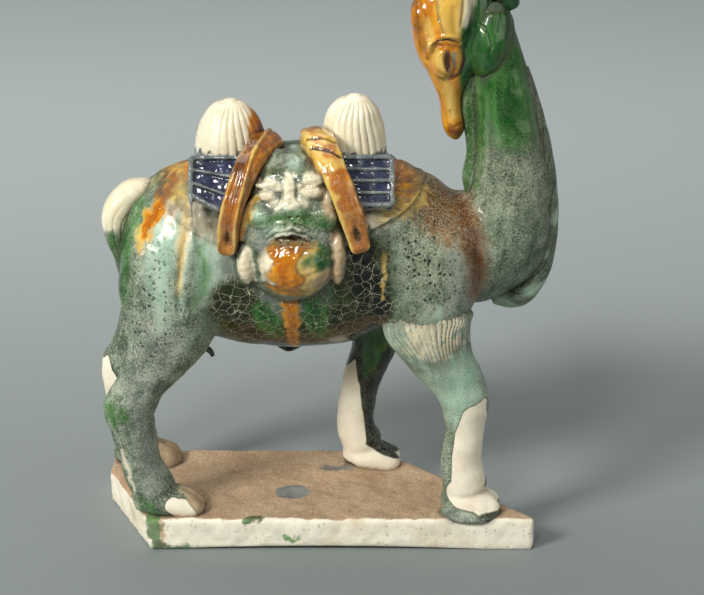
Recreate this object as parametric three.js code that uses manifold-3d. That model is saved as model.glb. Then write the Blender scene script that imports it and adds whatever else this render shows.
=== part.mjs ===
// A sancai (three-colour) glazed earthenware camel, about 19 cm tall, in the manner of old tomb figures.
// The two-humped camel walks on a flat slab, with its head turned back and its muzzle held down against
// its neck. It carries a pleated saddle blanket, a slatted pack board down each flank, two bolsters laid
// over its back, and a pack whose two bags are modelled as a beast's face.
// Millimetres, +Z up, +X towards the chest. The origin is on the slab's underside, under the trunk.
import * as THREE from "three";
import { mergeVertices } from "three/addons/utils/BufferGeometryUtils.js";
import Module from "manifold-3d";

// Driving dimensions.
const FIGURE_HEIGHT = 179; // the slab's top to the top of the crown tuft
const SLAB_THICKNESS = 11;
const SLAB_EDGE_WEAR = 1.2; // worn bevel round the slab's top edge
const SLAB_FRONT_LIP = 9; // the slab's edge beyond the middle of the near soles
const SLAB_BACK_LIP = 8.5; // the same, beyond the far soles
const SLAB_TAIL_LIP = 1.3; // the slab's edge behind the far hind heel
const SLAB_CHEST_LIP = 13.5; // the slab's tip in front of the near fore toe
const SLAB_CORNER_CUT = 7; // the cut at the far corner by the fore toe
const SLAB_HEEL_SLANT = 5; // how far past the near hind heel the slanting tail end meets the front edge
const SLAB_TAIL_END = 18; // length of the square part of the tail end
const SLAB_TIP_WEAR = 3; // what is worn off the slab's sharp corners
const SLAB_WARP = 1.3; // rise of the fired slab's front edge at mid-length
const SLAB_WARP_REACH = 14; // how far in from the front edge the rise runs out
const SLAB_FOOTHOLD = 0.12; // share of the slab's length at each end that the warp leaves down
const BLANKET_THICKNESS = 1.5;
const BOARD_THICKNESS = 3.6;
const SLAT_GROOVE = 1; // width and depth of the grooves between the board's slats
const BOLSTER_RADIUS = 4.1;
const BOLSTER_SOCKET = 1.4; // radius of the hollow in each end of a bolster
const BOLSTER_SOCKET_DEPTH = 3;

// The figure's own form is given in shares of its height, 179 of them, counted up from the soles.
const SHARES = 179;
const SHARE = FIGURE_HEIGHT / SHARES;

// A station of a limb is [x, y, z, half thickness in the figure's long plane, half thickness across it].
const TORSO = [
  [-66, 0, 86, 5, 6],
  [-62.5, 0, 85.5, 14, 14],
  [-55, 0, 85.5, 22, 20.5],
  [-44, 0, 85.5, 27.5, 25],
  [-30, 0, 85.5, 30, 26],
  [-15, 0, 86, 32, 27],
  [0, 0, 86.5, 32, 27],
  [14, 0, 87, 30, 26],
  [27, 0, 86, 27, 25],
  [38, 0, 85, 23, 23],
  [48, 0, 83, 18, 19],
  [56, 0, 82, 12, 13],
  [60, 0, 82, 6, 7],
];
const NECK = [
  [38, 0, 88, 18, 18],
  [50, 0, 85, 18.5, 17],
  [58.5, 0, 90, 17, 14.5],
  [61.5, 0, 104, 13.5, 12.5],
  [60.5, 0, 118, 11.8, 11],
  [58.8, 0, 131, 10.2, 9.8],
  [56.5, 0, 143, 9, 8.8],
  [54, 0, 155, 8, 8],
  [52, 0, 164, 6.5, 6.5],
];
const HEAD = [
  [47, 0, 174, 4, 4],
  [45.6, 0, 170, 9.5, 7],
  [43.6, 0, 163.5, 14, 8.6],
  [42.4, 0, 156.5, 13.6, 9],
  [41.8, 0, 149, 11.4, 8.8],
  [41.2, 0, 142.5, 8, 7.6],
  [41, 0, 136.5, 4.9, 6],
  [41.6, 0, 131, 3.9, 5],
  [42.6, 0, 126.5, 3.5, 4.8],
  [43.3, 0, 123.6, 3, 4.6],
  [43.7, 0, 122, 1.7, 3.2],
];
const CROWN_TUFT = [
  [38, 0, 167, 4, 5],
  [43, 0, 172, 5.4, 7],
  [50, 0, 173.6, 5.6, 8],
  [57, 0, 170.4, 4.8, 7],
  [60.6, 0, 164.5, 2.6, 4.4],
];
const EAR = [
  [41, -7.6, 153.5, 2, 1.6],
  [41.2, -8.8, 157.5, 4, 2.3],
  [42.2, -9.8, 163, 4.8, 2.3],
  [43.2, -10.2, 168.5, 3.6, 1.9],
  [44, -10, 172.5, 1.8, 1.2],
];
const JAW_TUFT = [
  [54.5, -2, 162, 6, 6],
  [53.4, -3, 154, 7, 7.4],
  [52, -4, 147.5, 5.6, 6.6],
  [50.6, -4.5, 143.6, 2.4, 3.6],
];
const BROW = [
  [33.6, -6.2, 149.5, 1, 1],
  [35.6, -7.6, 154, 1.5, 1.6],
  [39.6, -8.8, 156.4, 1.7, 1.8],
  [43.6, -8.6, 155, 1.4, 1.5],
  [45.6, -7.8, 151.6, 0.8, 0.9],
];
const EYE = { centre: [39.8, -8.2, 148.8], half: [3.7, 2.6, 5.6] };
const FOREHEAD_LOBE = { centre: [32.4, -3.4, 161.5], half: [3.8, 3.4, 5] };
const NAPE_MANE = [
  [48, 0, 104, 1.5, 3],
  [48.6, 0, 109, 2.8, 4.4],
  [50.2, 0, 117, 2.9, 4.2],
  [50, 0, 128, 2.9, 4],
  [49.5, 0, 140, 2.6, 3.4],
];
const THROAT_MANE = [
  [57, 0, 68, 3, 4],
  [65, 0, 69, 4.6, 5.2],
  [71, 0, 78, 4.4, 5.4],
  [73.5, 0, 92, 3.8, 5.2],
  [73, 0, 106, 3.5, 4.8],
  [71, 0, 119, 3.2, 4.4],
  [67.8, 0, 132, 2.8, 4],
  [64.5, 0, 144, 2, 3],
];
const TAIL = [
  [-54, 0, 104, 5, 5],
  [-60.5, -2, 103.5, 5.6, 5.6],
  [-65.5, -4.5, 98, 5.2, 5.4],
  [-66.8, -6.5, 89, 3.8, 4.4],
  [-65.6, -8, 80, 2.6, 3.4],
  [-64, -8.5, 71, 1.4, 2],
];
const LEGS = {
  nearHind: [
    [-45, -13, 90, 16, 11],
    [-47.5, -15.5, 78, 17.5, 12],
    [-47.5, -17, 66, 15.6, 10.6],
    [-52, -18.5, 54.5, 11, 8.8],
    [-57.5, -19, 44.5, 8.1, 7.4],
    [-61.8, -19, 36, 8.6, 7],
    [-61, -19, 29, 7.2, 6.4],
    [-59.6, -19, 22, 6.6, 6],
    [-58, -19, 15, 6.8, 6.2],
    [-54.5, -19, 7, 7.4, 6.8],
  ],
  farHind: [
    [-46, 13, 88, 16, 11],
    [-50, 15.5, 75, 17, 12],
    [-54.5, 17.5, 60, 13, 10],
    [-61, 18.5, 47, 9, 7.8],
    [-66.6, 19, 36, 8.5, 7],
    [-67.2, 19, 27, 7.2, 6.4],
    [-66.8, 19, 17, 6.8, 6],
    [-63.5, 19, 7.5, 7.4, 6.8],
  ],
  nearFore: [
    [36, -13, 90, 15, 11],
    [35, -16, 76, 15.5, 11.5],
    [34.8, -17.5, 65, 13.6, 10.6],
    [39.8, -18.5, 53, 10.4, 8.6],
    [44.6, -18.5, 45, 8.8, 7.6],
    [47.2, -18.5, 38.5, 8.1, 7.1],
    [47.2, -18.5, 32, 6.8, 6.4],
    [46.8, -18.5, 25, 6.2, 6],
    [46.2, -18.5, 17, 6.6, 6.1],
    [48, -18.5, 8, 7.2, 6.8],
  ],
  farFore: [
    [34, 13, 88, 15, 11],
    [29.5, 15.5, 74, 14, 11],
    [24.5, 17, 60, 11, 9.4],
    [20, 17.5, 49, 8.5, 7.6],
    [16.8, 17.5, 40, 7.2, 6.9],
    [14, 17.5, 31, 6.5, 6.3],
    [12, 17.5, 21, 6.2, 6],
    [11.8, 17.5, 14, 6.5, 6.1],
    [14, 17.5, 7.5, 7.2, 6.8],
  ],
};
// Each sole as [heel x, toe x, y].
const SOLES = {
  nearHind: [-60.5, -38.5, -19],
  farHind: [-71, -49, 19],
  nearFore: [41, 59, -18.5],
  farFore: [8, 27, 17.5],
};
// The fringe of hair round the top of each foreleg.
const NEAR_FRINGE = [
  [34.4, -16.4, 72, 13.6, 10.4],
  [34.6, -17, 67.5, 15.4, 12],
  [35.2, -17.6, 62.5, 13.8, 11.2],
  [36.2, -17.8, 59, 11, 9],
];
const FAR_FRINGE = [
  [29, 15.6, 70, 12.2, 10.4],
  [27.4, 16.2, 66, 13.6, 11.6],
  [25.6, 16.8, 61, 11.8, 10.4],
  [24.4, 17, 58, 9, 8.4],
];
const FRINGE_LOCKS = 10;
const FRINGE_LOCK_DEPTH = 0.05; // share of the fringe's radius
// The clay squeezed out under the near forefoot.
const CLAY_POOL = { centre: [49.5, -22.5, 0], half: [10.5, 7.2, 2.6] };
const REAR_HUMP = [
  [-28.3, 0, 110, 12, 11.5],
  [-28.2, 0, 120, 11.3, 11],
  [-28.2, 0, 126, 9.9, 9.5],
  [-28.2, 0, 131, 7.6, 7.2],
  [-28.1, 0, 134, 4.6, 4.4],
  [-28.1, 0, 135.2, 1.6, 1.6],
];
const FRONT_HUMP = [
  [11.5, 0, 110, 11, 11.5],
  [11.2, 0, 121, 10, 10.4],
  [11, 0, 127, 9.2, 9.2],
  [11.3, 0, 132, 7.4, 7.2],
  [11.5, 0, 135, 4.4, 4.2],
  [11.5, 0, 136.2, 1.5, 1.5],
];
const BAG = [
  [-8.2, -20, 76.5, 6, 4],
  [-8.3, -23, 79, 12.5, 7.5],
  [-8.4, -24.5, 86, 16.6, 10],
  [-8.4, -24.5, 93.5, 17, 10],
  [-8.3, -24, 101, 15.6, 9],
  [-8, -22.5, 108, 13.6, 8],
  [-7.6, -19, 115, 11.6, 7],
  [-7.4, -12, 116.5, 9, 5],
  [-7.4, -3, 117, 7, 3.5],
];
// The beast's face on the bag, about the bag's middle: what lies to both sides is given for the +X side.
const BAG_MIDDLE = -8.3;
const BEAST_CHIN = { centre: [0, -30.5, 87], half: [10.5, 5.5, 8.6] };
const BEAST_NOSE = { centre: [0, -30.2, 109], half: [2.2, 3, 6] };
const BEAST_PAIRS = {
  cheek: { centre: [14.1, -26.5, 88.5], half: [3.6, 4.5, 8.5] },
  brow: { centre: [7, -29.2, 112.6], half: [4.6, 2.4, 1.7] },
  eye: { centre: [6.6, -30, 108.4], half: [3.4, 2.8, 2.6] },
};
const LIP_HALF_WIDTH = 11;
const LIP_FOLD_STEP = 3; // how far each fold hangs below the last
const LIP_FOLD_TAPER = 2.4; // how much shorter each end of a fold is than the last
const LIP_Y = -33;
const LIP_Z = 99.5;
// The crest of the pack between the bolsters.
const PACK_TOP = { centre: [-8, 0, 111], half: [14, 17, 9.4] };
const REAR_BOLSTER = [
  [-27.8, -27.8, 94.5],
  [-27.2, -28.4, 101],
  [-24.6, -27.4, 110],
  [-21, -24.4, 118.5],
  [-17.4, -16, 120.8],
  [-15, -8, 120.8],
  [-14, 0, 120],
];
const FRONT_BOLSTER = [
  [12.8, -27.8, 95.5],
  [11, -28.4, 103],
  [7.6, -27.2, 112.5],
  [3.8, -22.8, 119.5],
  [0.6, -14, 122.6],
  [-0.6, -6, 122],
  [-1, 0, 121],
];
// The pack board runs from rear to front end, along a lower and an upper edge given as [y, z].
const BOARD_REAR = -39.6;
const BOARD_FRONT = 22.6;
const FAR_BOARD_FRONT = 17.5;
const BOARD_LOWER_EDGE = [-26.6, 106];
const BOARD_UPPER_EDGE = [-14.2, 121.5];
const BOARD_SLATS = 4;
// The blanket hangs within an oval seen from the side.
const BLANKET_CENTRE = [-5, 116];
const BLANKET_HALF_LENGTH = 47.5;
const BLANKET_DROP = 26;
const BLANKET_PLEATS = 24;
const BLANKET_PLEAT_DEPTH = 0.6;
const HUMP_FLUTES = 12;
const HUMP_FLUTE_DEPTH = 0.05; // share of the hump's radius

// How many rings a form has along it, and how many sides round it.
const TORSO_FACETS = { rings: 13, sides: 18 };
const NECK_FACETS = { rings: 9, sides: 12 };
const NAPE_FACETS = { rings: 5, sides: 5 };
const THROAT_FACETS = { rings: 7, sides: 6 };
const TAIL_FACETS = { rings: 7, sides: 7 };
const HEAD_FACETS = { rings: 14, sides: 12 };
const TUFT_FACETS = { rings: 5, sides: 8 };
const EAR_FACETS = { rings: 5, sides: 6 };
const ROLL_FACETS = { rings: 5, sides: 5 };
const LEG_FACETS = { rings: 9, sides: 10 };
const FOOT_FACETS = { rings: 4, sides: 7 };
const BAG_FACETS = { rings: 8, sides: 12 };
const BOLSTER_FACETS = { rings: 11, sides: 7 };
const HUMP_RINGS = 6;
const FRINGE_RINGS = 3;
const TIP_BULGE = 0.35; // how far a tube's end stands out, as a share of its last radius
const SOCKET_SIDES = 8;

const wasm = await Module();
wasm.setup();

// A closed mesh as a manifold-3d solid.
function solid(geometry) {
  const bare = geometry.index ? geometry.toNonIndexed() : geometry.clone();
  bare.deleteAttribute("normal");
  bare.deleteAttribute("uv");
  const merged = mergeVertices(bare, 1e-4);
  return new wasm.Manifold(
    new wasm.Mesh({
      numProp: 3,
      vertProperties: new Float32Array(merged.attributes.position.array),
      triVerts: new Uint32Array(merged.index.array),
    }),
  );
}

// A solid back as a geometry with flat faces.
function geometryOf(made) {
  const { numProp, numVert, vertProperties, triVerts } = made.getMesh();
  const positions = new Float32Array(numVert * 3);
  for (let i = 0; i < numVert; i++) {
    positions.set(vertProperties.subarray(i * numProp, i * numProp + 3), i * 3);
  }
  const geometry = new THREE.BufferGeometry();
  geometry.setAttribute("position", new THREE.BufferAttribute(positions, 3));
  geometry.setIndex(new THREE.BufferAttribute(new Uint32Array(triVerts), 1));
  const faceted = geometry.toNonIndexed();
  faceted.computeVertexNormals();
  return faceted;
}

// The point, direction and half thicknesses of a smooth tube at t, from 0 to 1 along its stations.
function sampler(stations) {
  const path = new THREE.CatmullRomCurve3(
    stations.map(([x, y, z]) => new THREE.Vector3(x, y, z)),
    false,
    "catmullrom",
  );
  const girth = new THREE.CatmullRomCurve3(
    stations.map(([, , , inPlane, across]) => new THREE.Vector3(inPlane, across, 0)),
    false,
    "catmullrom",
  );
  return (t) => ({ centre: path.getPoint(t), along: path.getTangent(t), half: girth.getPoint(t) });
}

// A closed tube of oval sections through the stations, in shares of the figure's height. Each section stands
// square to the path. Its first axis is square to `side` and its second runs along it. `ripple` gives the
// section's radius as a factor, by the angle round the section.
function tube(stations, { rings, sides, side = new THREE.Vector3(0, 1, 0), ripple = () => 1, grow = 0 }) {
  const at = sampler(stations);
  const positions = [];
  for (let ring = 0; ring <= rings; ring++) {
    const { centre, along, half } = at(ring / rings);
    const first = new THREE.Vector3().crossVectors(along, side).normalize();
    const second = new THREE.Vector3().crossVectors(first, along).normalize();
    for (let i = 0; i < sides; i++) {
      const angle = (2 * Math.PI * i) / sides;
      const factor = ripple(angle);
      const point = centre
        .clone()
        .addScaledVector(first, (half.x * factor + grow) * Math.cos(angle))
        .addScaledVector(second, (half.y * factor + grow) * Math.sin(angle));
      positions.push(point.x, point.y, point.z);
    }
  }
  for (const [t, way] of [[0, -1], [1, 1]]) {
    const { centre, along, half } = at(t);
    const tip = centre.clone().addScaledVector(along, way * TIP_BULGE * Math.min(half.x, half.y));
    positions.push(tip.x, tip.y, tip.z);
  }
  const faces = [];
  const tipAt = (rings + 1) * sides;
  for (let i = 0; i < sides; i++) {
    const next = (i + 1) % sides;
    for (let ring = 0; ring < rings; ring++) {
      const here = ring * sides;
      const there = here + sides;
      faces.push(here + i, there + i, here + next, here + next, there + i, there + next);
    }
    const last = rings * sides;
    faces.push(tipAt, i, next, tipAt + 1, last + next, last + i);
  }
  const geometry = new THREE.BufferGeometry();
  geometry.setAttribute("position", new THREE.Float32BufferAttribute(positions, 3));
  geometry.setIndex(faces);
  geometry.scale(SHARE, SHARE, SHARE);
  return facingOut(solid(geometry), geometry);
}

// The solid of a geometry, turned right side out where its faces point inwards.
function facingOut(made, geometry) {
  if (made.volume() > 0) return made;
  const index = geometry.index.array;
  for (let i = 0; i < index.length; i += 3) {
    [index[i + 1], index[i + 2]] = [index[i + 2], index[i + 1]];
  }
  return solid(geometry);
}

// The same solid on the figure's far side.
const mirrored = (made) => made.mirror([0, 1, 0]);
const onBothSides = (made) => [made, mirrored(made)];
const join = (solids) => wasm.Manifold.union(solids);

// The pieces as one solid, with any pocket that they close round filled.
function withoutVoids(solids) {
  const shells = join(solids).decompose();
  return shells.reduce((best, next) => (next.volume() > best.volume() ? next : best));
}

// A smooth lump: an ellipsoid in shares, with its middle and three half sizes.
function lump({ centre, half }, detail = 6) {
  const ball = new THREE.SphereGeometry(1, detail, Math.ceil(detail * 0.75));
  ball.scale(...half).translate(...centre);
  ball.scale(SHARE, SHARE, SHARE);
  return solid(ball);
}

// A foot: a broad pad that tapers to two toes, flat on the slab.
function foot([heel, toe, y]) {
  const length = toe - heel;
  return tube(
    [
      [heel, y, 2, 2.5, 3.5],
      [heel + 0.2 * length, y, 3.5, 5, 6.6],
      [heel + 0.5 * length, y, 2.8, 5.6, 7.6],
      [heel + 0.78 * length, y, 1.6, 4.6, 7],
      [toe - 0.5, y, 0.4, 2, 4],
    ],
    FOOT_FACETS,
  );
}

function legs() {
  const pairs = Object.keys(LEGS).flatMap((name) => [
    tube(LEGS[name], LEG_FACETS),
    foot(SOLES[name]),
  ]);
  return [...pairs, lump(CLAY_POOL)];
}

// A tube whose surface falls in locks or flutes, each a ridge and a groove.
function fluted(stations, count, depth, rings) {
  const ripple = (angle) => 1 + depth * Math.cos(count * angle);
  return tube(stations, { rings, sides: 2 * count, ripple });
}

const hump = (stations) => fluted(stations, HUMP_FLUTES, HUMP_FLUTE_DEPTH, HUMP_RINGS);
const fringe = (stations) => fluted(stations, FRINGE_LOCKS, FRINGE_LOCK_DEPTH, FRINGE_RINGS);

function head() {
  return [
    tube(HEAD, HEAD_FACETS),
    tube(CROWN_TUFT, TUFT_FACETS),
    ...onBothSides(tube(EAR, EAR_FACETS)),
    ...onBothSides(tube(JAW_TUFT, TUFT_FACETS)),
    ...onBothSides(lump(EYE, 8)),
    ...onBothSides(tube(BROW, ROLL_FACETS)),
    ...onBothSides(lump(FOREHEAD_LOBE)),
  ];
}

// The saddle blanket: the torso grown by the blanket's thickness, inside a pleated oval.
function blanket() {
  const grown = tube(TORSO, { ...TORSO_FACETS, grow: BLANKET_THICKNESS / SHARE });
  const outline = new THREE.Shape();
  const steps = 2 * BLANKET_PLEATS;
  for (let i = 0; i < steps; i++) {
    const angle = (2 * Math.PI * i) / steps;
    const out = i % 2 ? BLANKET_PLEAT_DEPTH : -BLANKET_PLEAT_DEPTH;
    const x = BLANKET_CENTRE[0] + (BLANKET_HALF_LENGTH + out) * Math.cos(angle);
    const z = BLANKET_CENTRE[1] + (BLANKET_DROP + out) * Math.sin(angle);
    if (i) outline.lineTo(x, z);
    else outline.moveTo(x, z);
  }
  const width = 3 * Math.max(...TORSO.map(([, , , , across]) => across));
  const prism = new THREE.ExtrudeGeometry(outline, { depth: width, bevelEnabled: false });
  prism.rotateX(Math.PI / 2).translate(0, width / 2, 0).scale(SHARE, SHARE, SHARE);
  return grown.intersect(solid(prism));
}

// A pack board on the near flank: slats side by side, leaning in from its lower to its upper edge.
function board(front) {
  const [lowY, lowZ] = BOARD_LOWER_EDGE;
  const [highY, highZ] = BOARD_UPPER_EDGE;
  const height = Math.hypot(highY - lowY, highZ - lowZ) * SHARE;
  const length = (front - BOARD_REAR) * SHARE;
  const lean = Math.atan2(highY - lowY, highZ - lowZ);
  const place = (box) =>
    box
      .rotateX(-lean)
      .translate(
        ((BOARD_REAR + front) / 2) * SHARE,
        ((lowY + highY) / 2) * SHARE,
        ((lowZ + highZ) / 2) * SHARE,
      );
  const backing = BOARD_THICKNESS - SLAT_GROOVE;
  const pieces = [solid(place(new THREE.BoxGeometry(length, backing, height)))];
  const pitch = height / BOARD_SLATS;
  for (let i = 0; i < BOARD_SLATS; i++) {
    const slat = new THREE.BoxGeometry(length, backing, pitch - SLAT_GROOVE);
    slat.translate(0, -SLAT_GROOVE, (i + 0.5) * pitch - height / 2);
    pieces.push(solid(place(slat)));
  }
  return join(pieces);
}

// A bolster laid over the back, with a hollow in each end.
function bolster(nearHalf) {
  const girth = BOLSTER_RADIUS / SHARE;
  const near = nearHalf.map(([x, y, z]) => [x, y, z, girth, girth]);
  const far = nearHalf
    .slice(0, -1)
    .reverse()
    .map(([x, y, z]) => [x, -y, z, girth, girth]);
  const across = new THREE.Vector3(1, 0, 0);
  const body = tube([...near, ...far], { ...BOLSTER_FACETS, side: across });
  const [end, next] = nearHalf.map(([x, y, z]) => new THREE.Vector3(x, y, z).multiplyScalar(SHARE));
  const inwards = next.clone().sub(end).normalize();
  const reach = 2 * BOLSTER_SOCKET_DEPTH;
  const socket = new THREE.CylinderGeometry(BOLSTER_SOCKET, BOLSTER_SOCKET, reach, SOCKET_SIDES);
  socket.applyQuaternion(new THREE.Quaternion().setFromUnitVectors(new THREE.Vector3(0, 1, 0), inwards));
  socket.translate(end.x, end.y, end.z);
  const hollow = solid(socket);
  return body.subtract(hollow).subtract(mirrored(hollow));
}

// A fold of the beast's upper lip: a thin roll, bent down and back at both ends.
function lipFold(order) {
  const halfWidth = LIP_HALF_WIDTH - order * LIP_FOLD_TAPER;
  const stations = [-1, -0.5, 0, 0.5, 1].map((t) => [
    BAG_MIDDLE + t * halfWidth,
    LIP_Y + 3 * t * t,
    LIP_Z - order * LIP_FOLD_STEP - 4 * t * t,
    1.3,
    1.6,
  ]);
  return tube(stations, ROLL_FACETS);
}

// The near bag and the beast's face raised on it.
function bag(lipFolds) {
  const onFace = ({ centre: [x, y, z], half }, way) => ({ centre: [BAG_MIDDLE + way * x, y, z], half });
  const pieces = [tube(BAG, BAG_FACETS), lump(onFace(BEAST_CHIN, 1), 9), lump(onFace(BEAST_NOSE, 1))];
  for (const feature of Object.values(BEAST_PAIRS)) {
    pieces.push(lump(onFace(feature, -1)), lump(onFace(feature, 1)));
  }
  for (let order = 0; order < lipFolds; order++) {
    pieces.push(lipFold(order));
  }
  return join(pieces);
}

function camel() {
  const figure = withoutVoids([
    tube(TORSO, TORSO_FACETS),
    tube(NECK, NECK_FACETS),
    tube(NAPE_MANE, NAPE_FACETS),
    tube(THROAT_MANE, THROAT_FACETS),
    tube(TAIL, TAIL_FACETS),
    ...head(),
    ...legs(),
    ...[REAR_HUMP, FRONT_HUMP].map(hump),
    ...[NEAR_FRINGE, FAR_FRINGE].map(fringe),
    blanket(),
    board(BOARD_FRONT),
    mirrored(board(FAR_BOARD_FRONT)),
    bag(2),
    mirrored(bag(1)),
    lump(PACK_TOP, 8),
    bolster(REAR_BOLSTER),
    bolster(FRONT_BOLSTER),
  ]);
  return figure.trimByPlane([0, 0, 1], 0).translate([0, 0, SLAB_THICKNESS]);
}

// The slab's corners, each stood off from the sole beside it. Both ends slant, as the near feet stand
// further forward than the far ones.
function slabCorners() {
  const at = (name) => SOLES[name].map((value) => value * SHARE);
  const [nearHeel, , nearHindY] = at("nearHind");
  const [farHeel, , farHindY] = at("farHind");
  const [, nearToe, nearForeY] = at("nearFore");
  const [, farToe, farForeY] = at("farFore");
  const frontY = Math.min(nearHindY, nearForeY) - SLAB_FRONT_LIP;
  const backY = Math.max(farHindY, farForeY) + SLAB_BACK_LIP;
  const tailX = farHeel - SLAB_TAIL_LIP;
  const tip = new THREE.Vector2(nearToe + SLAB_CHEST_LIP, frontY);
  const farCorner = new THREE.Vector2(farToe, backY - SLAB_CORNER_CUT);
  const tipWear = farCorner.clone().sub(tip).setLength(SLAB_TIP_WEAR);
  return [
    new THREE.Vector2(nearHeel + SLAB_HEEL_SLANT, frontY),
    new THREE.Vector2(tip.x - SLAB_TIP_WEAR, frontY),
    tip.add(tipWear),
    farCorner,
    new THREE.Vector2(farToe - SLAB_CORNER_CUT, backY),
    new THREE.Vector2(tailX + SLAB_TIP_WEAR, backY),
    new THREE.Vector2(tailX, backY - SLAB_TIP_WEAR),
    new THREE.Vector2(tailX, backY - SLAB_TAIL_END),
  ];
}

// The hollow that the warp leaves under the slab's front edge: a shallow arch that runs out further in.
function warpHollow(left, right, frontY) {
  const foothold = SLAB_FOOTHOLD * (right - left);
  const arch = new THREE.Shape();
  arch.moveTo(left + foothold, -SLAB_WARP);
  arch.quadraticCurveTo((left + right) / 2, 3 * SLAB_WARP, right - foothold, -SLAB_WARP);
  const depth = 2 * SLAB_WARP_REACH;
  const hollow = new THREE.ExtrudeGeometry(arch, { depth, bevelEnabled: false, curveSegments: 10 });
  hollow.rotateX(Math.PI / 2).translate(0, depth / 2, 0);
  hollow.rotateX(-Math.atan2(2 * SLAB_WARP, SLAB_WARP_REACH)).translate(0, frontY, 0);
  return solid(hollow);
}

function slab() {
  const corners = slabCorners();
  const outline = new THREE.Shape(corners);
  const plain = new THREE.ExtrudeGeometry(outline, {
    depth: SLAB_THICKNESS - SLAB_EDGE_WEAR,
    bevelEnabled: false,
  });
  const worn = new THREE.ExtrudeGeometry(outline, {
    depth: SLAB_THICKNESS - 2 * SLAB_EDGE_WEAR,
    bevelThickness: SLAB_EDGE_WEAR,
    bevelSize: SLAB_EDGE_WEAR,
    bevelOffset: -SLAB_EDGE_WEAR,
    bevelSegments: 2,
  });
  worn.translate(0, 0, SLAB_EDGE_WEAR);
  const [front, , , , , , , tail] = corners;
  const right = Math.max(...corners.map(({ x }) => x));
  return join([solid(plain), solid(worn)]).subtract(warpHollow(tail.x, right, front.y));
}

const glaze = new THREE.MeshStandardMaterial({ color: 0x6f8f78, roughness: 0.3, metalness: 0 });
glaze.name = "sancai_glaze";
const slip = new THREE.MeshStandardMaterial({ color: 0xd9cdb2, roughness: 0.85, metalness: 0 });
slip.name = "white_slip";

function named(name, made, material) {
  const mesh = new THREE.Mesh(geometryOf(made), material);
  mesh.name = name;
  return mesh;
}

const group = new THREE.Group();
group.name = "sancai_camel";
group.add(named("camel", camel(), glaze), named("plinth", slab(), slip));

export default group;
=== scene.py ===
"""The sancai camel's glazed surface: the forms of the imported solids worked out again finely, and glazed.

A two-humped camel of lead-glazed earthenware walks on a flat slab with its head turned back. It carries a
pleated blanket, slatted pack boards, two bolsters and a pack whose bags are modelled as a beast's face.

Forms are worked out in millimetres, with heights counted up from the soles, and are turned into metres
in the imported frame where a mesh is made. X runs towards the chest and Y towards the far flank.
"""

import logging
import math
from dataclasses import dataclass
from enum import Enum
from typing import Callable

import bpy
import numpy as np
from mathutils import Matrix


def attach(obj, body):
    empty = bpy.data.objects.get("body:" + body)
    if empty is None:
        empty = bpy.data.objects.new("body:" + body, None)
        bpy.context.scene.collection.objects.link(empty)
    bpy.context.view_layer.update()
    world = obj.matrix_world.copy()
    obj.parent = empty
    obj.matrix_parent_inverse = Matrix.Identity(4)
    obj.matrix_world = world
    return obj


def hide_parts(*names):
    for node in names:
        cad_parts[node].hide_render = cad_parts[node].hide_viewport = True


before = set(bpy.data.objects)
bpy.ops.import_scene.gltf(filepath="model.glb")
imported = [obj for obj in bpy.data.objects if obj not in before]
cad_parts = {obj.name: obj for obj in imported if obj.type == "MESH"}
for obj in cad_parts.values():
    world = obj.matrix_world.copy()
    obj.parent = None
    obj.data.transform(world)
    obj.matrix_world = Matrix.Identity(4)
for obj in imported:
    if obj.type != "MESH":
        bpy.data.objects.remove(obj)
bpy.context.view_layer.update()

LOG = logging.getLogger("sancai_camel")
Array = np.ndarray
Stations = tuple[tuple[float, ...], ...]
Colour = tuple[float, float, float, float]
Pair = tuple[float, float]
Place = tuple[float, float, float]

MM = 0.001
SLAB_THICKNESS = 11.0
TIP_BULGE = 0.35
WANDER_WAVES = 14
PACK_LEAN = 6.8
JOINT_REACH = 1.5
PAST_THE_FLANK = 99.0
NEAR = (-PAST_THE_FLANK, 0.0)
FAR = (0.0, PAST_THE_FLANK)
BOTH = (-PAST_THE_FLANK, PAST_THE_FLANK)


class Node(Enum):
    """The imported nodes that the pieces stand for."""

    CAMEL = "camel"
    PLINTH = "plinth"


class Slot(Enum):
    """The record's material slots."""

    GLAZE = "sancai_glaze"
    SLIP = "white_slip"


class Cover(Enum):
    """The colours laid on the clay, in the order they lie. Each is a point attribute from -1 to 1."""

    MIST = "mist"
    OLIVE = "olive"
    DEEP = "deep"
    MINT = "mint"
    LEAF = "leaf"
    OCHRE = "ochre"
    CREAM = "cream"
    ROSE = "rose"
    STRAW = "straw"
    AMBER = "amber"
    RUST = "rust"
    BLUE = "blue"
    BARE = "bare"


# Forms


def smoothstep(low: float, high: float, value: Array) -> Array:
    """The cubic ease 3s² - 2s³ of where a value lies between two others.

    Args:
        low: the value that gives 0.
        high: the value that gives 1.
        value: what is eased.

    Returns:
        The eased share, from 0 to 1.
    """
    share = np.clip((value - low) / (high - low), 0.0, 1.0)
    return share * share * (3.0 - 2.0 * share)


def bell(value: Array, middle: float | Array, width: float) -> Array:
    """1 where a value is at the middle, falling to 0 on both sides: e to the power of -((v - m) / w)²."""
    return np.exp(-(((value - middle) / width) ** 2))


def soft_oval(points: Array, middle: Pair, half: Pair) -> Array:
    """1 in the middle of an oval on the flanks, given in x and z, fading out past its half sizes."""
    away = (points[:, [0, 2]] - middle) / half
    return np.exp(-(away[:, 0] ** 2) - away[:, 1] ** 2)


def outwards_of(y: float) -> Pair:
    """The reach from y outwards, on the flank where y lies."""
    return (-PAST_THE_FLANK, y) if y < 0 else (y, PAST_THE_FLANK)


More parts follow.
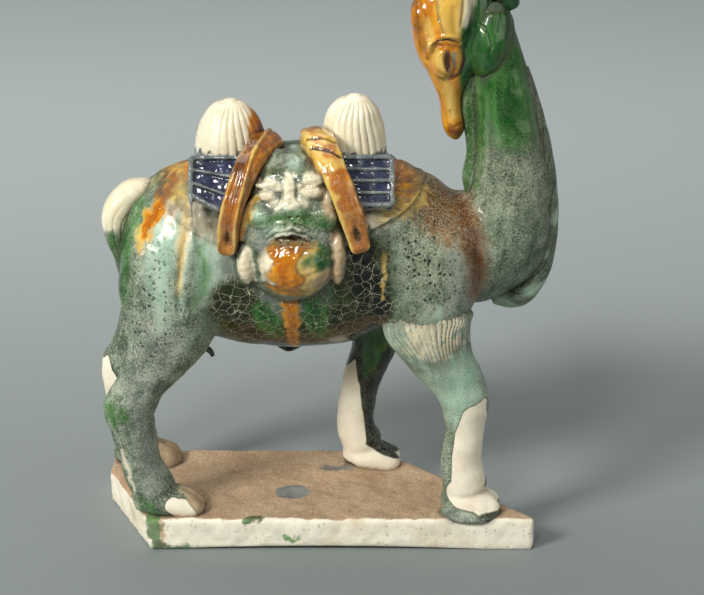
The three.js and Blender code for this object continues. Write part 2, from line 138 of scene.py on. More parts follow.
def spline(knots: Array, t: Array) -> tuple[Array, Array]:
    """A uniform Catmull-Rom curve through knots.

    Between knots k1 and k2 the point is half of 2k1 + (k2 - k0)w + (2k0 - 5k1 + 4k2 - k3)w² +
    (3k1 - k0 - 3k2 + k3)w³. The end knots are mirrored outwards.

    Args:
        knots: one row for each knot.
        t: where to stand, from 0 to 1 along the curve.

    Returns:
        The points and the directions there, one row for each t.
    """
    ends = np.vstack([2 * knots[0] - knots[1], knots, 2 * knots[-1] - knots[-2]])
    spans = len(knots) - 1
    place = np.clip(t, 0.0, 1.0) * spans
    first = np.minimum(place.astype(int), spans - 1)
    w = (place - first)[:, None]
    k0, k1, k2, k3 = (ends[first + i] for i in range(4))
    b, c, d = k2 - k0, 2 * k0 - 5 * k1 + 4 * k2 - k3, 3 * k1 - k0 - 3 * k2 + k3
    return 0.5 * (2 * k1 + b * w + c * w**2 + d * w**3), 0.5 * (b + 2 * c * w + 3 * d * w**2)


def wander(points: Array, size: float, seed: int) -> Array:
    """Smooth unevenness: the mean of seeded sine waves in all directions, scaled to about -1 to 1.

    Args:
        points: where to read it.
        size: the length of one wave.
        seed: which unevenness.

    Returns:
        One value for each point.
    """
    rng = np.random.default_rng(seed)
    ways = rng.normal(size=(WANDER_WAVES, 3))
    ways /= np.linalg.norm(ways, axis=1, keepdims=True)
    pace = 2 * np.pi / (size * rng.uniform(0.7, 1.5, WANDER_WAVES))
    phase = rng.uniform(0, 2 * np.pi, WANDER_WAVES)
    total = np.sin(points @ (ways * pace[:, None]).T + phase).sum(1)
    return total / math.sqrt(WANDER_WAVES * 0.5) / 1.6


@dataclass
class Shell:
    """A closed surface in millimetres: its points, and its faces as rows of corner numbers."""

    points: Array
    quads: Array
    tris: Array

    def mirrored(self) -> "Shell":
        """The same surface on the other flank, still facing outwards."""
        return Shell(self.points * (1, -1, 1), self.quads[:, ::-1], self.tris[:, ::-1])

    def mesh(self, name: str) -> bpy.types.Mesh:
        """A Blender mesh of the surface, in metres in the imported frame.

        Args:
            name: the mesh's name.

        Returns:
            The mesh.
        """
        mesh = bpy.data.meshes.new(name)
        corners = np.concatenate([self.quads.ravel(), self.tris.ravel()]).astype(np.int32)
        sizes = np.repeat([4, 3], [len(self.quads), len(self.tris)])
        mesh.vertices.add(len(self.points))
        mesh.loops.add(len(corners))
        mesh.polygons.add(len(sizes))
        mesh.vertices.foreach_set("co", in_metres(self.points).ravel())
        mesh.loops.foreach_set("vertex_index", corners)
        mesh.polygons.foreach_set("loop_start", np.concatenate([[0], np.cumsum(sizes)[:-1]]).astype(np.int32))
        mesh.update(calc_edges=True)
        mesh.validate()
        return mesh


def in_metres(points: Array) -> Array:
    """Millimetres above the soles as metres above the slab's underside."""
    return ((points + (0.0, 0.0, SLAB_THICKNESS)) * MM).astype(np.float32)


def add_object(name: str, data: bpy.types.ID) -> bpy.types.Object:
    """An object linked into the scene.

    Args:
        name: its name.
        data: its mesh, light or camera.

    Returns:
        The object.
    """
    made = bpy.data.objects.new(name, data)
    bpy.context.scene.collection.objects.link(made)
    return made


def in_millimetres(points: Array) -> Array:
    """Metres above the slab's underside as millimetres above the soles."""
    return points.astype(float) / MM - (0.0, 0.0, SLAB_THICKNESS)


def stack(shells: list[Shell]) -> Shell:
    """Several surfaces as one, their corner numbers moved up.

    Args:
        shells: the surfaces.

    Returns:
        One surface that holds them all, still overlapping.
    """
    starts = np.cumsum([0] + [len(s.points) for s in shells[:-1]])
    return Shell(
        np.vstack([s.points for s in shells]),
        np.vstack([s.quads + n for s, n in zip(shells, starts)]),
        np.vstack([s.tris + n for s, n in zip(shells, starts)]),
    )


def rolled(rings: Array) -> Shell:
    """A closed surface over rings of points, its first and last ring drawn in to a point each.

    Args:
        rings: points by ring, then by place round the ring, then x, y and z.

    Returns:
        The surface, turned so that it faces outwards.
    """
    count, around, _ = rings.shape
    ring = np.arange(around)
    after = (ring + 1) % around
    step = np.arange(count - 1)[:, None] * around
    quads = np.stack([step + ring, step + after, step + after + around, step + ring + around], axis=-1)
    first, last = count * around, count * around + 1
    top = (count - 1) * around
    tris = np.vstack([
        np.stack([np.full(around, first), after, ring], axis=-1),
        np.stack([np.full(around, last), top + ring, top + after], axis=-1),
    ])
    points = np.vstack([rings.reshape(-1, 3), rings[0].mean(0), rings[-1].mean(0)])
    shell = Shell(points, quads.reshape(-1, 4), tris)
    a, b, c = (points[shell.quads[:, i]] for i in range(3))
    volume = np.einsum("ij,ij->i", a, np.cross(b, c)).sum()
    return shell if volume > 0 else Shell(points, shell.quads[:, ::-1], shell.tris[:, ::-1])


def tube(
    stations: Stations,
    rings: int,
    around: int,
    side: Place = (0.0, 1.0, 0.0),
    proud: Callable[[Array, Array], Array] | None = None,
    caps: int = 5,
    tip: float = TIP_BULGE,
) -> Shell:
    """An oval tube along a smooth path, with domed ends.

    At t along the path, and at an angle round the section, the point is the path's point + F (a + p) cos +
    S (b + p) sin. F is the direction square to the path and to `side`, S is square to F and the path, a
    and b are the half sizes there, and p is how far `proud` stands the surface out.

    Args:
        stations: rows of x, y, z, half size along F, half size along S.
        rings: rings along the path.
        around: points round each ring.
        side: the direction that S leans towards.
        proud: gives millimetres from t and the angle, both as grids.
        caps: rings in each domed end.
        tip: how far an end bulges, as a share of the smaller half size.

    Returns:
        The tube's closed surface.
    """
    rows = np.array(stations, float)
    t = np.linspace(0.0, 1.0, rings)
    path, along = spline(rows[:, :3], t)
    half, _ = spline(rows[:, 3:5], t)
    along /= np.linalg.norm(along, axis=1, keepdims=True)
    first = np.cross(along, side)
    first /= np.linalg.norm(first, axis=1, keepdims=True)
    second = np.cross(first, along)
    bulge = tip * np.minimum(half[:, 0], half[:, 1])
    dome = np.linspace(0.0, 0.46 * np.pi, caps + 1)[1:]
    order = np.concatenate([np.zeros(caps, int), np.arange(rings), np.full(caps, rings - 1)])
    shrink = np.concatenate([np.cos(dome)[::-1], np.ones(rings), np.cos(dome)])
    push = np.concatenate([-np.sin(dome)[::-1], np.zeros(rings), np.sin(dome)])
    angle = np.linspace(0.0, 2 * np.pi, around, endpoint=False)
    grow = proud(t[order][:, None], angle[None, :]) if proud else np.zeros((len(order), around))
    middle = path[order] + along[order] * (push * bulge[order])[:, None]
    wide = (half[order, 0][:, None] + grow) * shrink[:, None] * np.cos(angle)
    deep = (half[order, 1][:, None] + grow) * shrink[:, None] * np.sin(angle)
    out = wide[..., None] * first[order][:, None]
    across = deep[..., None] * second[order][:, None]
    return rolled(middle[:, None] + out + across)


def lump(centre: Place, half: Place, detail: int = 24) -> Shell:
    """An ellipsoid: centre + half sizes times (sin p cos q, sin p sin q, cos p).

    Args:
        centre: its middle.
        half: its half sizes.
        detail: points round it.

    Returns:
        The closed surface.
    """
    p = np.linspace(0.0, np.pi, detail // 2 + 2)[1:-1, None]
    q = np.linspace(0.0, 2 * np.pi, detail, endpoint=False)[None, :]
    unit = np.stack([np.sin(p) * np.cos(q), np.sin(p) * np.sin(q), np.cos(p) + 0 * q], axis=-1)
    return rolled(unit * half + centre)


def prism(outline: Array, low: float, high: float) -> Shell:
    """A flat block: an outline carried straight up.

    Args:
        outline: x and y of its corners, in order.
        low: height of its underside.
        high: height of its top.

    Returns:
        The closed surface.
    """
    return rolled(np.stack([np.column_stack([outline, np.full(len(outline), z)]) for z in (low, high)]))


def locks(phase: Array, sharp: float = 3.0) -> Array:
    """Strands side by side: 0 on each strand's crown, falling to -1 in the narrow groove between two."""
    return -((1.0 - np.abs(np.sin(phase / 2))) ** sharp)


@dataclass(frozen=True)
class Stroke:
    """A stroke of glaze or of a modelling tool on a flank, as seen from the side.

    The path's points are x and z. The half width may be one number or one for each point. The edge fades
    over `soft`. The stroke only reaches points whose y lies within `reach`.
    """

    path: tuple[Pair, ...]
    half: float | tuple[float, ...]
    soft: float = 2.0
    reach: Pair = NEAR

    def margin(self, points: Array) -> Array:
        """How far inside the stroke each point lies: its half width less the distance to its path.

        Args:
            points: where to measure.

        Returns:
            Millimetres, below 0 outside.
        """
        knots = np.array(self.path, float)
        half = np.broadcast_to(np.array(self.half, float), (len(knots),))
        flat = points[:, [0, 2]]
        best = np.full(len(points), -1e3)
        for (a, b), (ha, hb) in zip(zip(knots[:-1], knots[1:]), zip(half[:-1], half[1:])):
            run = b - a
            w = np.clip((flat - a) @ run / (run @ run), 0.0, 1.0)
            gap = np.linalg.norm(flat - a - w[:, None] * run, axis=1)
            best = np.maximum(best, ha + (hb - ha) * w - gap)
        return best

    def cover(self, points: Array) -> Array:
        """The stroke as a colour's cover: its margin over `soft`, from -1 to 1, and -1 out of reach.

        Args:
            points: where to measure.

        Returns:
            One value for each point.
        """
        low, high = self.reach
        y = points[:, 1]
        out = np.maximum(smoothstep(high - 1.5, high + 1.5, y), 1.0 - smoothstep(low - 1.5, low + 1.5, y))
        return np.clip(self.margin(points) / self.soft, -1.0, 1.0) * (1 - out) - out

    def furrow(self, points: Array) -> Array:
        """The stroke as a tool's mark: 1 along its path, 0 past its half width, with a rounded floor.

        Args:
            points: where to measure.

        Returns:
            One share for each point.
        """
        low, high = self.reach
        within = (points[:, 1] > low) & (points[:, 1] < high)
        return smoothstep(0.0, float(np.max(self.half)), self.margin(points)) * within


def stoop(points: Array) -> Array:
    """The pack's points with its top let down on the far side by PACK_LEAN."""
    lower = PACK_LEAN * smoothstep(-3, 13, points[:, 1]) * smoothstep(92, 118, points[:, 2])
    return points - lower[:, None] * (0, 0, 1)


def strokes_of(rows: dict[Cover, list[tuple]], *reach: Pair) -> dict[Cover, list[Stroke]]:
    """Strokes by colour, from rows of path, half width and softness, with a reach for all or one in each."""
    return {cover: [Stroke(*row, *reach) for row in listed] for cover, listed in rows.items()}


def pressed(height: Array, points: Array, marks: tuple[tuple, ...], share: float | Array = 1.0) -> Array:
    """A relief with tool marks pressed in or raised.

    Args:
        height: the relief so far.
        points: where it is read.
        marks: rows of a mark's path, half width and height, which is below 0 for a groove.
        share: how much of each mark shows.

    Returns:
        The relief with its marks.
    """
    for path, half, depth in marks:
        height = height + depth * Stroke(path, half).furrow(points) * share
    return height


def on_near_flank(points: Array) -> Array:
    """The points with those of the far flank mirrored onto the near one."""
    return np.column_stack([points[:, 0], -np.abs(points[:, 1]), points[:, 2]])


def on_both_flanks(strokes: list[Stroke], shift: float = 2.5) -> list[Stroke]:
    """Strokes of the near flank, and their like on the far flank, a little to one side and narrower.

    Args:
        strokes: strokes of the near flank.
        shift: how far along X the far ones are moved.

    Returns:
        Both.
    """
    far = [
        Stroke(
            tuple((x - shift, z) for x, z in s.path),
            tuple(0.9 * h for h in np.broadcast_to(s.half, (len(s.path),))),
            s.soft,
            (-s.reach[1], -s.reach[0]),
        )
        for s in strokes
    ]
    return strokes + far


class Skin:
    """A piece's mesh, with its points and normals as arrays in millimetres."""

    def __init__(self, name: str, mesh: bpy.types.Mesh) -> None:
        """Takes a mesh in metres and makes an object of it.

        Args:
            name: the piece's name.
            mesh: its mesh.
        """
        self.mesh = mesh
        mesh.name = name
        self.object = add_object(name, mesh)
        mesh.polygons.foreach_set("use_smooth", np.ones(len(mesh.polygons), bool))
        pairs = np.empty(len(mesh.edges) * 2, np.int32)
        mesh.edges.foreach_get("vertices", pairs)
        self.pairs = pairs.reshape(-1, 2)
        count = len(mesh.vertices)
        self.degree = np.maximum(np.bincount(self.pairs.ravel(), minlength=count), 1)
        self._read()

    @classmethod
    def of(cls, name: str, shell: Shell) -> "Skin":
        """The piece whose mesh is one closed surface as it stands."""
        return cls(name, shell.mesh(name))

    @classmethod
    def over(cls, name: str, shells: list[Shell], pitch: float, rounds: int) -> "Skin":
        """One skin round overlapping surfaces, as clay pressed together.

        Args:
            name: the piece's name.
            shells: closed surfaces.
            pitch: spacing of the skin's points.
            rounds: how often it is smoothed.

        Returns:
            The piece.
        """
        source = add_object(name + "_forms", stack(shells).mesh(name + "_forms"))
        skin = source.modifiers.new("skin", "REMESH")
        skin.mode = "VOXEL"
        skin.voxel_size = pitch * MM
        soften = source.modifiers.new("soften", "SMOOTH")
        soften.factor = 0.5
        soften.iterations = rounds
        graph = bpy.context.evaluated_depsgraph_get()
        mesh = bpy.data.meshes.new_from_object(source.evaluated_get(graph), depsgraph=graph)
        spent = source.data
        bpy.data.objects.remove(source)
        bpy.data.meshes.remove(spent)
        return cls(name, mesh)

    def _read(self) -> None:
        """Reads the points and normals back from the mesh."""
        count = len(self.mesh.vertices)
        flat = np.empty(count * 3, np.float32)
        self.mesh.vertices.foreach_get("co", flat)
        self.points = in_millimetres(flat.reshape(-1, 3))
        self.mesh.vertices.foreach_get("normal", flat)
        self.normals = flat.reshape(-1, 3).astype(float)

    def move(self, points: Array) -> None:
        """Puts the points elsewhere and reads the new normals.

        Args:
            points: where they go, in millimetres.
        """
        self.mesh.vertices.foreach_set("co", in_metres(points).ravel())
        self.mesh.update()
        self._read()

    def carve(self, height: Array) -> None:
        """Moves each point along its normal by a height in millimetres."""
        self.move(self.points + self.normals * height[:, None])

    def spread(self, values: Array, rounds: int) -> Array:
        """Values blended half and half with their neighbours' mean, round after round.

        Args:
            values: one value for each point.
            rounds: how many rounds.

        Returns:
            The blended values.
        """
        a, b = self.pairs.T
        count = len(values)
        for _ in range(rounds):
            total = np.bincount(a, values[b], count) + np.bincount(b, values[a], count)
            values = 0.5 * values + 0.5 * total / self.degree
        return values

    def smoothed(self, rounds: int) -> Array:
        """The points, each drawn towards its neighbours' mean, round after round."""
        return np.column_stack([self.spread(self.points[:, i], rounds) for i in range(3)])

    def soften(self, share: Array, rounds: int) -> None:
        """Smooths the form where `share` is 1 and leaves it where `share` is 0.

        Args:
            share: one share for each point.
            rounds: how many rounds.
        """
        self.move(self.points + (self.smoothed(rounds) - self.points) * share[:, None])

    def hollows(self, rounds: int, full: float) -> Array:
        """How deep each point lies below the mean of the surface round it.

        Args:
            rounds: how wide a neighbourhood counts.
            full: the depth in millimetres that gives 1.

        Returns:
            From 0 on flat ground and crests to 1 in hollows.
        """
        depth = np.einsum("ij,ij->i", self.smoothed(rounds) - self.points, self.normals)
        return np.clip(depth / full, 0.0, 1.0)

    def paint(self, name: str, values: Array) -> None:
        """Stores one value for each point as an attribute that the finishes read."""
        layer = self.mesh.attributes.get(name) or self.mesh.attributes.new(name, "FLOAT", "POINT")
        layer.data.foreach_set("value", values.astype(np.float32))

    def lay(
        self,
        covers: dict[Cover, list[Stroke]],
        base: dict[Cover, Array] | None = None,
        bend: float = 0.3,
        drip: float = 0.0,
    ) -> None:
        """Paints every colour's cover: the highest of its strokes, or of its base where one is given.

        The strokes are read at points bent by smooth unevenness, so that no edge of theirs runs straight.
        Only bare clay keeps its edges as they are drawn.

        Args:
            covers: strokes by colour.
            base: covers already worked out, by colour.
            bend: how far the edges wander.
            drip: how far narrow runs draw them up and down.
        """
        base = base or {}
        p = self.points
        sway = [wander(p, 3.6, seed) + 0.5 * wander(p, 1.3, seed + 10) for seed in (111, 112)]
        runs = wander(p * (1.0, 1.0, 0.12), 2.4, 113)
        bent = p + np.column_stack([bend * sway[0], 0 * runs, bend * sway[1] + drip * runs])
        for cover in Cover:
            values = base.get(cover, np.full(len(p), -1.0))
            spots = p if cover is Cover.BARE else bent
            for stroke in covers.get(cover, []):
                values = np.maximum(values, stroke.cover(spots))
            self.paint(cover.value, values)

    def weather(
        self,
        age: float | Array,
        wide_net: float | Array,
        fine_net: float | Array,
        pitted: float | Array = 0.0,
    ) -> None:
        """Paints how weathered the glaze is, how far it is crackled, where it pools, and painted shade in
        broad hollows.

        Args:
            age: 0 for fresh and glossy to 1 for dull and speckled.
            wide_net: strength of the wide crackle.
            fine_net: strength of the fine crackle.
            pitted: how far black pits are eaten into it.
        """
        count = len(self.points)
        values = {"age": age, "wide_net": wide_net, "fine_net": fine_net, "pitted": pitted, "joint": 0.0}
        for name, value in values.items():
            self.paint(name, np.broadcast_to(value, (count,)))
        # The fine hollows: glaze pools thick there, and on bare clay and the slab they are darkened as dirt
        # and painted shade.
        self.paint("fine_hollow", self.hollows(6, 0.3))
        # Painted shade: how deep each point lies in the broad hollows, which the finishes darken.
        self.paint("shade", self.hollows(50, 2.2))

    def finish(self, node: Node, material: bpy.types.Material) -> None:
        """Dresses the piece and ties it to the frame.

        Args:
            node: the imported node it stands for.
            material: its material.
        """
        self.mesh.materials.clear()
        self.mesh.materials.append(material)
        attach(self.object, "root")
        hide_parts(node.value)
        LOG.info("%s: %d triangles", self.object.name, len(self.mesh.loops) - 2 * len(self.mesh.polygons))

    def seat(self, others: list["Skin"]) -> None:
        """Paints how near each point is to other pieces, where dirt gathers in the joints and painted shade
        darkens them.

        It runs from 1 where they touch to 0 at JOINT_REACH millimetres.

        Args:
            others: the other pieces.
        """
        low, high = self.points.min(0) - JOINT_REACH, self.points.max(0) + JOINT_REACH
        tree = bpy.data.node_groups.new("joint_finder", "GeometryNodeTree")
        for way in ("INPUT", "OUTPUT"):
            tree.interface.new_socket("Geometry", in_out=way, socket_type="NodeSocketGeometry")
        g = Graph(tree)
        joined = g.add("GeometryNodeJoinGeometry")
        for other in others:
            if np.all(other.points.min(0) < high) and np.all(other.points.max(0) > low):
                info = g.add("GeometryNodeObjectInfo", {"Object": other.object})
                tree.links.new(info.outputs["Geometry"], joined.inputs[0])
        near = g.add("GeometryNodeProximity", {0: joined.outputs[0]}, target_element="FACES")
        given = g.add("NodeGroupInput").outputs[0]
        stored = g.add(
            "GeometryNodeStoreNamedAttribute",
            {"Geometry": given, "Name": "joint", "Value": near.outputs["Distance"]},
        )
        g.add("NodeGroupOutput", {0: stored.outputs[0]})
        finder = self.object.modifiers.new("joint_finder", "NODES")
        finder.node_group = tree
        graph = bpy.context.evaluated_depsgraph_get()
        measured = self.object.evaluated_get(graph).data
        values = np.empty(len(self.points), np.float32)
        measured.attributes["joint"].data.foreach_get("value", values)
        self.object.modifiers.remove(finder)
        bpy.data.node_groups.remove(tree)
        self.paint("joint", np.clip(1.0 - values / (JOINT_REACH * MM), 0.0, 1.0))


# Finishes


def tone(red: int, green: int, blue: int) -> Colour:
    """A colour given as screen values, as linear light.

    Args:
        red: its red, from 0 to 255.
        green: its green.
        blue: its blue.

    Returns:
        Red, green, blue and 1, from 0 to 1.
    """
    share = np.array([red, green, blue]) / 255.0
    linear = np.where(share <= 0.04045, share / 12.92, ((share + 0.055) / 1.055) ** 2.4)
    return (*(float(v) for v in linear), 1.0)


def per_metre(size: float) -> float:
    """The texture scale whose features are about `size` millimetres across."""
    return 1.0 / (size * MM)


class Graph:
    """A node tree in the making, with a short call for each kind of node used here."""

    def __init__(self, tree: bpy.types.NodeTree) -> None:
        """Starts on a tree's nodes and links."""
        self.tree = tree
        self.nodes = tree.nodes

    def add(
        self,
        kind: str,
        inputs: dict[str | int, object] | None = None,
        **settings: object,
    ) -> bpy.types.Node:
        """Adds a node.

        Args:
            kind: the node's type name.
            inputs: a socket to link or a value to set, by the input's name or number.
            **settings: the node's own settings.

        Returns:
            The node.
        """
        node = self.nodes.new(kind)
        for name, value in settings.items():
            setattr(node, name, value)
        for key, value in (inputs or {}).items():
            if isinstance(value, bpy.types.NodeSocket):
                self.tree.links.new(value, node.inputs[key])
            else:
                node.inputs[key].default_value = value
        return node

    def math(self, kind: str, a: object, b: object = 0.0, c: object = 0.0, clamp: bool = False) -> object:
        """A calculation of a kind on a, b and c."""
        node = self.add("ShaderNodeMath", {0: a, 1: b, 2: c}, operation=kind, use_clamp=clamp)
        return node.outputs[0]

    def times(self, *factors: object) -> object:
        """The product of several numbers.

        Args:
            *factors: sockets or values.

        Returns:
            The product's socket.
        """
        product = factors[0]
        for factor in factors[1:]:
            product = self.math("MULTIPLY", product, factor)
        return product

    def ease(self, value: object, low: object, high: object) -> object:
        """A smooth step of a value from 0 at `low` to 1 at `high`."""
        inputs = {"Value": value, "From Min": low, "From Max": high}
        return self.add("ShaderNodeMapRange", inputs, interpolation_type="SMOOTHSTEP").outputs[0]

    def mix(self, share: object, a: object, b: object) -> object:
        """Two colours blended by a share."""
        node = self.add("ShaderNodeMix", {0: share, 6: a, 7: b}, data_type="RGBA", clamp_factor=True)
        return node.outputs[2]

    def blend(self, share: object, a: object, b: object) -> object:
        """Two numbers blended by a share."""
        node = self.add("ShaderNodeMix", {0: share, 2: a, 3: b}, data_type="FLOAT", clamp_factor=True)
        return node.outputs[0]

    def place(self, stretch: Place = (1.0, 1.0, 1.0)) -> object:
        """Object coordinates, stretched along the axes."""
        spot = self.add("ShaderNodeTexCoord").outputs["Object"]
        return self.add("ShaderNodeMapping", {"Vector": spot, "Scale": stretch}).outputs[0]

    def noise(self, spot: object, size: float, detail: float = 2.0, rough: float = 0.5) -> object:
        """Noise from 0 to 1 whose features are `size` millimetres across."""
        inputs = {"Vector": spot, "Scale": per_metre(size), "Detail": detail, "Roughness": rough}
        return self.add("ShaderNodeTexNoise", inputs).outputs["Fac"]

    def attribute(self, name: str) -> object:
        """A point attribute's value."""
        return self.add("ShaderNodeAttribute", attribute_name=name, attribute_type="GEOMETRY").outputs["Fac"]

    def effect(self, effect: bpy.types.NodeTree, inputs: dict[str, object]) -> bpy.types.NodeOutputs:
        """The outputs of a shared node group, placed with its own values."""
        return self.add("ShaderNodeGroup", inputs, node_tree=effect).outputs

    def surface(self, colour: object, rough: object, **more: object) -> None:
        """Ends the tree with a surface.

        Args:
            colour: its base colour.
            rough: its roughness.
            **more: its further inputs, with underscores for spaces.
        """
        inputs = {"Base Color": colour, "Roughness": rough}
        inputs |= {name.replace("_", " "): value for name, value in more.items()}
        shader = self.add("ShaderNodeBsdfPrincipled", inputs)
        self.add("ShaderNodeOutputMaterial", {"Surface": shader.outputs[0]})


def empty_material(name: str) -> tuple[bpy.types.Material, Graph]:
    """A material without nodes.

    Args:
        name: its name.

    Returns:
        The material, and the graph to fill.
    """
    material = bpy.data.materials.new(name)
    material.use_nodes = True
    material.node_tree.nodes.clear()
    return material, Graph(material.node_tree)


class Effect:
    """A shared node group, with named inputs and outputs."""

    def __init__(self, name: str, inputs: dict[str, float], outputs: list[str]) -> None:
        """Makes the group and its sockets.

        Args:
            name: the group's name.
            inputs: default values by input name.
            outputs: the outputs' names, all numbers.
        """
        self.tree = bpy.data.node_groups.new(name, "ShaderNodeTree")
        for key, value in inputs.items():
            socket = self.tree.interface.new_socket(key, in_out="INPUT", socket_type="NodeSocketFloat")
            socket.default_value = value
        for key in outputs:
            self.tree.interface.new_socket(key, in_out="OUTPUT", socket_type="NodeSocketFloat")
        self.graph = Graph(self.tree)
        self.given = self.graph.add("NodeGroupInput").outputs
        self.result = self.graph.add("NodeGroupOutput").inputs

    def put(self, name: str, value: object) -> None:
        """Links a socket to one of the outputs."""
        self.graph.tree.links.new(value, self.result[name])


def bleeding_edge() -> bpy.types.NodeTree:
    """The running edge of a glaze: its cover plus noise, stepped to a mask, and the rim line.

    Returns:
        A group from Cover, Wobble, Softness and Rim width to Mask and Rim.
    """
    inputs = {"Cover": -1.0, "Wobble": 0.5, "Softness": 0.5, "Rim width": 0.25}
    effect = Effect("bleeding_edge", inputs, ["Mask", "Rim"])
    g = effect.graph
    broad = g.noise(g.place((1.0, 1.0, 0.6)), 5.0, 3.0)
    small = g.noise(g.place(), 1.1, 2.0)
    ripple = g.math("MULTIPLY_ADD", small, 0.5, g.math("SUBTRACT", broad, 0.75))
    cover = g.math("MULTIPLY_ADD", ripple, effect.given["Wobble"], effect.given["Cover"])
    soft = effect.given["Softness"]
    effect.put("Mask", g.ease(cover, g.times(soft, -1.0), soft))
    near = g.math("DIVIDE", g.math("ABSOLUTE", cover), effect.given["Rim width"])
    effect.put("Rim", g.math("SUBTRACT", 1.0, g.math("MINIMUM", near, 1.0), clamp=True))
    return effect.tree


def crackle_net() -> bpy.types.NodeTree:
    """Fine cracks: the edges of warped Voronoi cells, broken up by noise, and a finer net between them.

    Returns:
        A group from Size, Width and Broken to Line.
    """
    effect = Effect("crackle_net", {"Size": 0.003, "Width": 0.06, "Broken": 0.3}, ["Line"])
    g = effect.graph
    spot = g.place()
    uneven = {"Vector": spot, "Scale": per_metre(2.4), "Detail": 2.0}
    warp = g.add("ShaderNodeTexNoise", uneven).outputs["Color"]
    push = g.add("ShaderNodeVectorMath", {0: warp, 1: (0.5, 0.5, 0.5)}, operation="SUBTRACT").outputs[0]
    bend = g.times(effect.given["Size"], 0.4)
    shift = g.add("ShaderNodeVectorMath", {0: push, "Scale": bend}, operation="SCALE").outputs[0]
    bent = g.add("ShaderNodeVectorMath", {0: spot, 1: shift}, operation="ADD").outputs[0]
    scale = g.math("DIVIDE", 1.0, effect.given["Size"])
    lines = []
    for share, wider in ((1.0, 1.0), (2.1, 1.5)):
        cells = g.add(
            "ShaderNodeTexVoronoi",
            {"Vector": bent, "Scale": g.times(scale, share)},
            feature="DISTANCE_TO_EDGE",
        ).outputs["Distance"]
        edge = g.math("DIVIDE", cells, g.times(effect.given["Width"], wider))
        lines.append(g.ease(edge, 1.0, 0.35))
    gaps = g.noise(spot, 3.0, 2.0)
    level = g.math("MULTIPLY_ADD", effect.given["Broken"], -0.6, gaps)
    major = g.times(lines[0], g.ease(level, 0.1, 0.22))
    minor = g.times(lines[1], g.ease(level, 0.34, 0.46), 0.6)
    effect.put("Line", g.math("MAXIMUM", major, minor))
    return effect.tree


def lime_specks() -> bpy.types.NodeTree:
    """Weathering of a buried glaze, all from noise: pale lime, dark specks, and black pits in some cells.

    Returns:
        A group from Amount to Speck, Dark, Pit and Mottle.
    """
    effect = Effect("lime_specks", {"Amount": 0.5}, ["Speck", "Dark", "Pit", "Mottle"])
    g = effect.graph
    spot = g.place()
    patch = g.noise(spot, 6.0, 2.0)
    more = g.math("MULTIPLY_ADD", effect.given["Amount"], 0.14, -0.07)
    uneven = g.math("MULTIPLY_ADD", patch, 0.5, -0.25)
    pale = g.math("ADD", g.noise(spot, 0.55, 2.0, 0.6), g.math("ADD", more, uneven))
    dark = g.math("ADD", g.noise(spot, 0.65, 2.0, 0.65), g.math("SUBTRACT", more, uneven))
    effect.put("Speck", g.ease(pale, 0.54, 0.64))
    effect.put("Dark", g.ease(dark, 0.55, 0.63))
    effect.put("Mottle", g.ease(g.noise(g.place((1.0, 1.0, 0.5)), 2.4, 4.0, 0.6), 0.36, 0.64))
    cells = g.add("ShaderNodeTexVoronoi", {"Vector": spot, "Scale": per_metre(1.6)}, feature="F1")
    some = g.add("ShaderNodeSeparateColor", {0: cells.outputs["Color"]}).outputs[0]
    chosen = g.ease(g.math("MULTIPLY_ADD", uneven, -1.2, some), 0.52, 0.56)
    away = g.math("ADD", cells.outputs["Distance"], -0.35)
    ragged = g.math("MULTIPLY_ADD", g.noise(spot, 0.7, 2.0), 0.7, away)
    effect.put("Pit", g.times(g.ease(ragged, 0.36, 0.24), chosen))
    return effect.tree


def glaze_runs() -> bpy.types.NodeTree:
    """Runs of melted glaze: noise drawn out downwards.

    Returns:
        A group from Contrast to Run.
    """
    effect = Effect("glaze_runs", {"Contrast": 0.5}, ["Run"])
    g = effect.graph
    drawn = g.noise(g.place((1.0, 1.0, 0.16)), 2.6, 3.0, 0.55)
    soft = g.noise(g.place((1.0, 1.0, 0.4)), 8.0, 2.0)
    both = g.math("MULTIPLY_ADD", soft, 0.7, g.times(drawn, effect.given["Contrast"]))
    effect.put("Run", g.ease(both, 0.5, 0.9))
    return effect.tree


@dataclass(frozen=True)
class Pigment:
    """One colour of glaze: its tones where it lies thin and thick, and its surface.

    `edge` is how softly it ends, and `clean` the share of specks and crackle that it keeps off.
    """

    thin: Colour
    thick: Colour
    roughness: float = 0.2
    edge: float = 0.6
    clean: float = 0.6


class Effects:
    """The node groups that the finishes share."""

    def __init__(self) -> None:
        """Builds each group once."""
        self.edge = bleeding_edge()
        self.net = crackle_net()
        self.specks = lime_specks()
        self.runs = glaze_runs()


